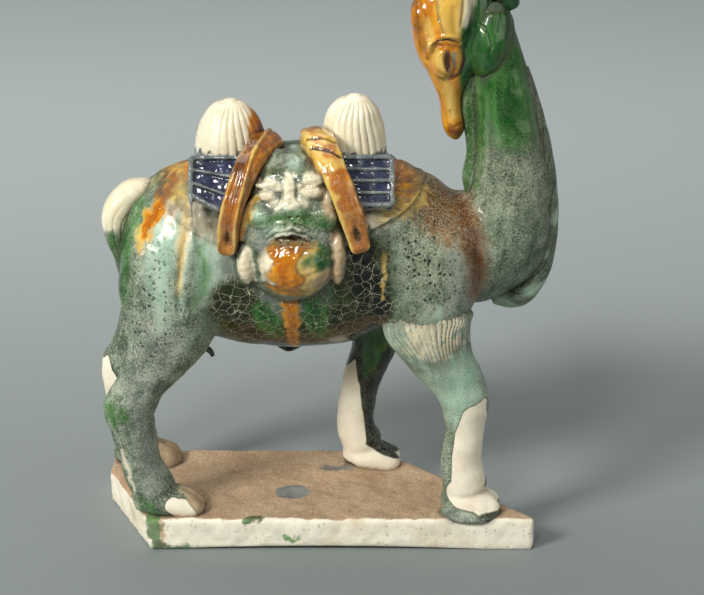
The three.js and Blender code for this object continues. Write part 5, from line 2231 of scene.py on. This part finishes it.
@dataclass
class BeastBag:
    """One bag of the pack, modelled as a beast's face: brows, eyes, snout, folded lip and round chin.

    Each lip is an arc, given by its half width, its distance out, its height and its drop at the ends.
    """

    name: str
    far: bool
    pitch: float = 0.39
    pits: tuple[Pair, ...] = ((-10.1, 103.2), (-8.6, 105.3), (-6.1, 105.5), (-6.8, 103.6))
    lips: Stations = ((6.6, 33.0, 103.9, 3.2), (6.2, 33.7, 102.5, 3.2), (4.8, 34.1, 100.9, 2.4))
    chin_middle: Pair = (-6.9, 88.8)
    sack: Stations = (
        (-8.2, -20, 79, 6, 4), (-8.3, -23, 81.4, 12.0, 6.8), (-8.4, -24, 87, 15.6, 8.2),
        (-8.4, -24.2, 93.5, 16.6, 8.4), (-8.3, -24, 101, 15.6, 8.8), (-8, -22.5, 108, 13.6, 8),
        (-7.6, -19, 115, 11.6, 7), (-7.4, -12, 116.5, 9, 5), (-7.4, -3, 117, 7, 3.5),
    )

    def features(self) -> list[Shell]:
        """The lumps and rolls of the face: chin, cheeks, brows, nose, bridge, whisker strip and lips.

        Returns:
            Their closed surfaces.
        """
        lumps = (
            ((-7.0, -28.8, 88.8), (11.4, 7.2, 9.2)),
            ((-22.8, -26.8, 88.6), (2.9, 4.4, 7.2)),
            ((6.2, -26.8, 90.4), (2.6, 4.6, 9)),
            ((-15.4, -26.9, 114.2), (4.0, 1.8, 1.3)),
            ((-15.2, -28.4, 111.2), (3.2, 2.1, 1.9)),
            ((-1.2, -26.6, 115.8), (3.2, 2.1, 1.9)),
            ((-1.9, -28.4, 112.3), (3.2, 2.3, 2.0)),
            ((-5.3, -27.8, 114.4), (0.9, 1.5, 1.1)),
            ((3.4, -27.4, 108.4), (2.3, 2.4, 4.4)),
            ((-16.6, -29.3, 104.2), (4.6, 3.2, 4.0)),
            ((1.6, -29.3, 104.4), (4.4, 3.2, 4.6)),
            ((-10.8, -30.6, 106.6), (2.2, 2.2, 2.0)),
            ((-5.4, -30.6, 106.6), (2.2, 2.2, 2.0)),
        )
        shells = [lump(centre, half, 36) for centre, half in lumps]
        bridge = (
            (-8.9, -26.2, 115.3, 0.9, 1.3), (-9.0, -28.2, 113.6, 1.2, 1.7),
            (-8.9, -29.6, 111.6, 1.2, 2.0), (-8.3, -30.4, 109.6, 1.3, 3.4),
            (-8.2, -30.8, 107.8, 1.5, 3.6), (-8.2, -31.0, 105.8, 1.2, 2.8),
        )
        strip = ((-18.8, -26.6, 111, 1, 1), (-22.4, -28.2, 105, 1.3, 1.4), (-23.6, -28.6, 97, 1, 1.2))
        shells += [tube(bridge, 30, 20, side=(1, 0, 0)), tube(strip, 30, 16)]
        t = np.linspace(-1, 1, 7)
        for wide, out, high, drop in self.lips:
            rows = np.column_stack([
                -8.6 + t * wide,
                -out + 3.4 * t**2,
                high - drop * t**2,
                0.8 - 0.25 * t**2,
                0.62 - 0.2 * t**2,
            ])
            shells.append(tube(tuple(map(tuple, rows)), 44, 14))
        return shells

    def build(self) -> Skin:
        """One skin over the sack and the face, with grooves pressed in.

        Returns:
            The piece.
        """
        shells = [tube(self.sack, 60, 72), *self.features()]
        if self.far:
            shells = [shell.mirrored() for shell in shells]
        skin = Skin.over(self.name, shells, self.pitch, 6)
        marks = (
            (((-11.2, 116), (-11, 112), (-12.4, 109)), (0.5, 0.9, 0.4), -0.9),
            (((-6.7, 116), (-6.3, 111.6), (-5.0, 109.4)), (0.5, 0.9, 0.4), -0.9),
            (((-19, 113.0), (-15, 113.0), (-11.6, 112.4)), (0.4, 0.6, 0.9), -0.7),
            (((-4.6, 113.9), (-1, 114), (2, 114.6)), (0.4, 0.5, 0.4), -0.5),
            (((-16, 109.4), (-13, 108.6), (-10.4, 110.2)), (0.3, 0.6, 0.3), -0.5),
            (((-10.3, 103.2), (-9.9, 103.3)), 0.6, -0.8),
            (((-8.8, 105.3), (-8.4, 105.3)), 0.6, -0.8),
            (((-6.3, 105.5), (-5.9, 105.5)), 0.6, -0.8),
            (((-7.0, 103.6), (-6.6, 103.6)), 0.6, -0.8),
            (((-12.6, 98.5), (-8.3, 99.3), (-3.2, 97.6)), (0.7, 1.3, 0.7), -1.5),
            (((-15.6, 98.2), (-12.6, 100.6), (-8.3, 101.9), (-3.8, 99.9), (-1.4, 98.2)), 0.5, -0.6),
            (((-16, 100), (-12.8, 102.8), (-8.2, 104.2), (-3.4, 102.2), (-1, 100.2)), 0.5, -0.5),
            (((-18.9, 96), (-19.2, 90), (-17, 82)), (0.8, 1.1, 0.6), -0.5),
            (((3.2, 96.4), (4.9, 91), (3, 83)), (0.7, 0.9, 0.5), -0.5),
        )
        p = skin.points
        uneven = 0.16 * wander(p, 7.0, 81) + 0.1 * wander(p, 2.4, 82)
        skin.carve(pressed(uneven, on_near_flank(p), marks))
        skin.move(stoop(skin.points))
        return skin

    def dress(self, skin: Skin, finishes: Finishes) -> None:
        """A green snout, cream brows and cheeks, a dark mouth, and a chin of many colours side by side.

        Args:
            skin: the bag's skin.
            finishes: the materials.
        """
        p = skin.points
        strokes = {
            Cover.MIST: [
                (((-19, 98), (-16, 96)), 2.2, 2.6),
                (((1, 99), (4.4, 96.4)), 1.8, 2.4),
                (((-9.4, 125), (-5.6, 125)), 2.0, 3.0),
                (((6.8, 96), (7.4, 90), (6, 84)), (1.0, 1.4, 1.0), 1.8),
            ],
            Cover.OLIVE: [(((-14, 117.6), (-10, 121), (-3, 120.6), (-1, 118)), 2.0, 4.5)],
            Cover.DEEP: [
                (((-1.4, 96.8), (3.4, 95.4), (5, 91), (3.6, 84)), 0.25, 1.2),
                (((-14.6, 99), (-12.6, 100.6), (-8.3, 101.9), (-3.8, 99.9), (-2, 98.8)), 0.15, 0.4),
                (((-15, 101), (-12.8, 102.8), (-8.2, 104.2), (-3.4, 102.2), (-1.6, 100.8)), 0.1, 0.4),
                *((((x - 0.2, z), (x + 0.2, z)), 0.5, 0.7) for x, z in self.pits),
                (((-11.8, 112.6), (-11.2, 113.4)), 0.6, 1.2),
            ],
            Cover.MINT: [
                (((-7.6, 120.2), (-6.6, 120)), 1.2, 2.6),
                (((-19, 106), (-16, 103), (-12, 101.6)), (1.6, 2.2, 1.4), 3),
                (((-9.6, 108), (-9.6, 106)), 0.8, 1.6),
            ],
            Cover.LEAF: [
                (((-20, 103), (-15, 104.6), (-8, 105.6), (-3, 105), (3, 104)), (0.8, 1.6, 1.8, 1.8, 3.4), 3),
            ],
            Cover.CREAM: [
                (((-19.2, 114.1), (-14.5, 114.4), (-11.4, 113.9)), (0.9, 1.4, 1.1), 1.2),
                (((-17.4, 111.9), (-15.2, 111.2), (-13.2, 110)), (1.0, 1.8, 1.3), 1.3),
                (((-15.2, 109.3), (-13, 108.4), (-10.4, 110)), 0.5, 1.0),
                (((-8.8, 117), (-9, 112), (-8.4, 110.2)), (1.3, 1.6, 2.0), 1.2),
                (((-10.8, 110), (-6.8, 110.2), (-3.6, 110)), 1.0, 1.8),
                (((-2.8, 116), (0.4, 115.6)), 2.0, 1.6),
                (((-3.6, 113), (0, 112.2)), 2.0, 1.6),
                (((-5.5, 114.5), (-5.1, 114.5)), 0.9, 0.9),
                (((-22.3, 94), (-22.9, 89), (-21.8, 84.4)), (1.4, 2.6, 1.8), 1.4),
                # Painted highlights: pale arcs along the crests of the folded lip.
                (((-13, 101.3), (-8.2, 102.8), (-3.6, 101.2)), 0.2, 0.5),
                (((-12.6, 99.9), (-8.3, 101.1), (-3.4, 99.2)), 0.25, 0.5),
            ],
            Cover.ROSE: [
                (((2.6, 111), (4.2, 106)), 1.7, 2.2),
                (((5.4, 97.6), (6.8, 91), (5.2, 84)), (1.4, 2.0, 1.4), 1.6),
            ],
            Cover.STRAW: [
                (((-18.6, 110.6), (-21, 106.8), (-22.4, 101)), (0.9, 1.1, 0.5), 1.2),
                (((-13, 97.2), (-8.3, 96.2), (-2.6, 96.2)), 0.5, 2.2),
            ],
            Cover.AMBER: [
                (((-20.2, 109.8), (-22.9, 104.5), (-23.7, 98)), (0.5, 0.7, 0.8), 0.9),
            ],
            Cover.RUST: [
                (((-12.6, 98.5), (-8.3, 99.3), (-3.2, 97.6)), (0.7, 1.2, 0.6), 1.0),
                (((-12, 97), (-8.3, 96.4), (-4, 96.4)), 1.2, 2.8),
            ],
        }
        chin = np.hypot((p[:, 0] - self.chin_middle[0]) / 12.0, (p[:, 2] - self.chin_middle[1]) / 10.2)
        fresh = 1 - smoothstep(0.98, 1.14, chin)
        snout = bell(p[:, 2], 100, 5)
        skin.lay(strokes_of(strokes, FAR if self.far else NEAR), self.chin_bands(p, chin), 0.35, 0.3)
        crackled = np.clip(0.3 + 0.7 * snout - 0.5 * fresh * (1 - smoothstep(93, 98, p[:, 2])), 0, 1)
        lobes = smoothstep(11, 13.5, np.abs(p[:, 0] + 8)) * (1 - smoothstep(98, 102, p[:, 2]))
        fresh = np.maximum(fresh, 0.8 * lobes)
        skin.weather(0.5 * (1 - fresh), 0.0, crackled, 0.25 * (1 - fresh))
        skin.finish(Node.CAMEL, finishes.bag)

    def chin_bands(self, p: Array, chin: Array) -> dict[Cover, Array]:
        """The chin's glazes side by side: a cream rim, orange, brown, yellow and green over beige.

        Args:
            p: the points.
            chin: how far out each lies, 1 on the chin's edge.

        Returns:
            Each glaze's cover.
        """
        u = (p[:, 0] - self.chin_middle[0]) / 11.6 + 0.13 * wander(p, 6.0, 83) + 0.03 * wander(p, 2.6, 84)
        v = (p[:, 2] - 88.6) / 9.4 + 0.12 * wander(p, 5.0, 85) + 0.03 * wander(p, 2.4, 86)
        outer = 0.98 - chin
        bands = {
            Cover.CREAM: (-0.86, 0.15, -0.6, 0.6, 0.2),
            Cover.AMBER: (-0.26, 0.44, -1.2, 0.9, 0.24),
            Cover.RUST: (0.2, 0.05, -0.7, 0.8, 0.26),
            Cover.STRAW: (0.32, 0.1, -0.9, 0.7, 0.26),
            Cover.LEAF: (0.68, 0.24, -0.15, 0.85, 0.26),
            Cover.ROSE: (0.66, 0.44, -1.3, 0.0, 0.2),
        }
        covers = {}
        for cover, (middle, half, low, high, soft) in bands.items():
            inside = np.minimum.reduce([half - np.abs(u - middle), v - low, high - v, outer])
            covers[cover] = np.clip(inside / soft, -1, 1)
        return covers


@dataclass
class PackCrest:
    """The top of the pack between the bolsters."""

    centre: Place = (-8, 0, 110.2)
    half: Place = (14, 17, 9.4)

    def build(self) -> Skin:
        """A low dome, slightly uneven.

        Returns:
            The piece.
        """
        skin = Skin.of("pack_crest", lump(self.centre, self.half, 110))
        skin.carve(0.3 * wander(skin.points, 9.0, 91) + 0.1 * wander(skin.points, 3.0, 92))
        skin.move(stoop(skin.points))
        return skin

    def dress(self, skin: Skin, finishes: Finishes) -> None:
        """Grey-green glaze, worn to pinkish clay on top.

        Args:
            skin: the piece\'s mesh.
            finishes: the materials.
        """
        p = skin.points
        worn = (p[:, 2] - 119.4) / 2.0 + 0.5 * wander(p, 8.0, 93)
        skin.lay({}, {Cover.ROSE: np.clip(worn, -1, 1), Cover.MIST: np.clip(0.4 * wander(p, 9.0, 94), -1, 1)})
        skin.weather(0.8, 0.0, 0.3, 0.5)
        skin.finish(Node.CAMEL, finishes.body)


@dataclass
class Slab:
    """The slab: rolled clay with slanting ends, warped up a little along its front edge."""

    pitch: float = 0.95
    front_lip: float = 9.0
    back_lip: float = 8.5
    tail_lip: float = 1.3
    chest_lip: float = 13.5
    corner_cut: float = 7.0
    heel_slant: float = 5.0
    tail_end: float = 18.0
    tip_wear: float = 3.0
    warp: float = 1.3
    warp_reach: float = 14.0
    warp_margin: float = 17.0

    def outline(self, soles: tuple[Place, ...]) -> Array:
        """The corners, each stood off from the sole beside it.

        Args:
            soles: heel, toe and y of the near hind, far hind, near fore and far fore foot.

        Returns:
            x and y of each corner.
        """
        near_hind, far_hind, near_fore, far_fore = soles
        front = min(near_hind[2], near_fore[2]) - self.front_lip
        back = max(far_hind[2], far_fore[2]) + self.back_lip
        tail = far_hind[0] - self.tail_lip
        tip = np.array([near_fore[1] + self.chest_lip, front])
        far_corner = np.array([far_fore[1], back - self.corner_cut])
        slope = (far_corner - tip) / np.linalg.norm(far_corner - tip)
        return np.array([
            (near_hind[0] + self.heel_slant, front),
            (tip[0] - self.tip_wear, front),
            tuple(tip + slope * self.tip_wear),
            tuple(far_corner),
            (far_fore[1] - self.corner_cut, back),
            (tail + self.tip_wear, back),
            (tail, back - self.tip_wear),
            (tail, back - self.tail_end),
        ])

    def build(self, soles: tuple[Place, ...]) -> Skin:
        """The slab's skin, its edges worn, its front lifted off the table in the middle.

        Args:
            soles: heel, toe and y of each foot.

        Returns:
            The piece.
        """
        corners = self.outline(soles)
        skin = Skin.over("slab", [prism(corners, -SLAB_THICKNESS, 0.0)], self.pitch, 3)
        p = skin.points
        left, right = corners[:, 0].min(), corners[:, 0].max()
        front = corners[:, 1].min()
        along = np.clip((p[:, 0] - left - self.warp_margin) / (right - left - 2 * self.warp_margin), 0, 1)
        inward = np.clip(1 - (p[:, 1] - front) / self.warp_reach, 0, 1)
        low = 1 - smoothstep(-SLAB_THICKNESS + 0.5, -SLAB_THICKNESS + 5, p[:, 2])
        lift = self.warp * 4 * along * (1 - along) * inward * low
        rounded = 1 - smoothstep(0.0, 0.6, skin.hollows(10, 1.0))
        dents = 0.22 * wander(p, 11.0, 101) + 0.1 * wander(p, 4.0, 102)
        flat = smoothstep(-SLAB_THICKNESS + 0.2, -SLAB_THICKNESS + 1.2, p[:, 2])
        dented = p + skin.normals * (dents * flat * rounded)[:, None]
        skin.move(dented + np.column_stack([0 * lift, 0 * lift, lift]))
        return skin

    def dress(self, skin: Skin, finishes: Finishes) -> None:
        """Cream slip on the sides, dusty brown on top, green runs from the feet.

        Args:
            skin: the slab's skin.
            finishes: the materials.
        """
        p = skin.points
        strokes = {
            Cover.LEAF: [
                (((-55, 1), (-54.5, -6), (-53.6, -12)), (2.6, 2.2, 1.4), 1.6, outwards_of(-23)),
                (((-70, 1), (-66, 1), (-62, 1)), (0.6, 2.4, 0.8), 2.0, outwards_of(-8)),
                (((-23, 0.6), (-19, 0.4)), (1.6, 1.0), 2.0, outwards_of(-25)),
                (((-11, -6.6), (-8, -6.8)), 1.2, 1.5, outwards_of(-26)),
                (((-50, -9.6), (-44, -10)), (1.2, 0.8), 2.0, outwards_of(-26)),
            ],
            Cover.ROSE: [(((-52.6, 0.4), (-51.8, -6), (-51.6, -11)), (0.9, 0.6, 0.5), 0.8, outwards_of(-23))],
        }
        lying = np.column_stack([p[:, 0], np.zeros(len(p)), p[:, 1]])
        spots = (
            Stroke(((-10.2, -6.8), (-8.8, -6.8)), 5.2, 1.6, BOTH),
            Stroke(((2, 11.8), (8, 12)), 2.2, 4.6, BOTH),
        )
        grey = np.where(p[:, 2] > -1.5, np.maximum(*(s.cover(lying) for s in spots)), -1.0)
        skin.lay(strokes_of(strokes), {Cover.MIST: grey}, 0.7)
        inward = (p[:, 1] - p[:, 1].min() - 1.6 + 0.5 * wander(p, 4.0, 103)) / 0.8
        skin.paint("top", np.clip(np.minimum(2 * smoothstep(-1.7, -0.2, p[:, 2]) - 1, inward), -1, 1))
        skin.weather(0.3, 0.0, 0.0)
        skin.finish(Node.PLINTH, finishes.slab)


# The studio


@dataclass
class Studio:
    """A paper floor, soft lights and the camera. Places are in metres, and the tilt is in degrees."""

    camera_place: Place = (0.0105, -0.6425, 0.3184)
    camera_tilt: float = 69.5
    lens: float = 106.9
    sensor: float = 36.0
    floor_reach: float = 3.0
    floor_near_shaded: Colour = tone(124, 133, 133)
    floor_far_lit: Colour = tone(196, 207, 210)
    floor_grain: Colour = tone(142, 143, 142)
    sky: Colour = (0.62, 0.65, 0.66, 1)
    sky_strength: float = 0.26
    lamps: tuple[tuple[str, Place, float, float], ...] = (
        ("key", (-0.95, -0.8, 0.9), 0.36, 17.5),
        ("window", (-0.3, -0.95, 1.15), 0.26, 5.0),
        ("fill", (0.9, -0.6, 0.6), 0.9, 2.4),
        ("top", (-0.2, 0.35, 1.2), 0.9, 5.0),
    )
    lamp_colour: Place = (1.0, 0.965, 0.905)
    aim_height: float = 0.1

    def build(self) -> None:
        """Sets up the floor, the lights, the sky and the camera."""
        self.lay_floor()
        for name, place, size, power in self.lamps:
            self.lamp(name, place, size, power)
        world = bpy.data.worlds.new("sky")
        bpy.context.scene.world = world
        world.use_nodes = True
        background = world.node_tree.nodes["Background"].inputs
        background[0].default_value = self.sky
        background[1].default_value = self.sky_strength
        bpy.context.scene.view_settings.view_transform = "Standard"
        camera = add_object("camera", bpy.data.cameras.new("camera"))
        camera.location = self.camera_place
        camera.rotation_euler = (math.radians(self.camera_tilt), 0, 0)
        camera.data.sensor_width = self.sensor
        camera.data.lens = self.lens
        camera.data.clip_start = 0.01
        bpy.context.scene.camera = camera

    def lay_floor(self) -> None:
        """Lays a sheet of grey-blue paper with painted light: darker in front, paler behind the figure."""
        mesh = bpy.data.meshes.new("floor")
        ways = ((-1, -1), (1, -1), (1, 1), (-1, 1))
        corners = [(x * self.floor_reach, y * self.floor_reach, 0) for x, y in ways]
        mesh.from_pydata(corners, [], [(0, 1, 2, 3)])
        add_object("floor", mesh)
        material, g = empty_material("floor_paper")
        grain = g.noise(g.place(), 4.0, 2.0)
        depth = g.add("ShaderNodeSeparateXYZ", {0: g.place()}).outputs["Y"]
        # Painted light: the paper is shaded in front and lit paler behind the figure.
        paper = g.mix(g.ease(depth, -0.15, 0.6), self.floor_near_shaded, self.floor_far_lit)
        paper = g.mix(g.times(grain, 0.1), paper, self.floor_grain)
        g.surface(paper, 0.75)
        mesh.materials.append(material)

    def lamp(self, name: str, place: Place, size: float, power: float) -> None:
        """A square soft light aimed at the figure.

        Args:
            name: its name.
            place: where it hangs, in metres.
            size: its side, in metres.
            power: its power in watts.
        """
        light = bpy.data.lights.new(name, "AREA")
        light.size = size
        light.energy = power
        light.color = self.lamp_colour
        lamp = add_object(name, light)
        lamp.location = place
        x, y, z = place[0], place[1], place[2] - self.aim_height
        lamp.rotation_euler = (math.atan2(math.hypot(x, y), z), 0, math.atan2(y, x) + math.pi / 2)


def main() -> None:
    """Builds and dresses every piece, then the studio."""
    logging.basicConfig(level=logging.INFO, format="%(message)s")
    finishes = Finishes()
    body = Body()
    parts = [
        body,
        Tail(),
        NAPE,
        THROAT,
        BELLY_HOOK,
        BELLY_SHADE_RIM,
        NEAR_FRINGE,
        FAR_FRINGE,
        Head(),
        REAR_HUMP,
        FRONT_HUMP,
        Blanket(body.torso),
        PackBoard("rear_near_board", -24.0, lower=(-28.6, 102.4), slats=3, taper=9.0),
        PackBoard("front_near_board", 23.0, rear=6.0, taper=0.0),
        PackBoard("rear_far_board", -24.0, far=True),
        PackBoard("front_far_board", 18.0, far=True, rear=6.0, taper=0.0),
        REAR_BOLSTER,
        FRONT_BOLSTER,
        BeastBag("near_bag", False),
        BeastBag("far_bag", True),
        PackCrest(),
    ]
    slab = Slab()
    skins = [part.build() for part in parts] + [slab.build(body.soles)]
    for part, skin in zip([*parts, slab], skins):
        part.dress(skin, finishes)
    for skin in skins:
        skin.seat([other for other in skins if other is not skin])
    Studio().build()


if __name__ == "__main__":
    main()
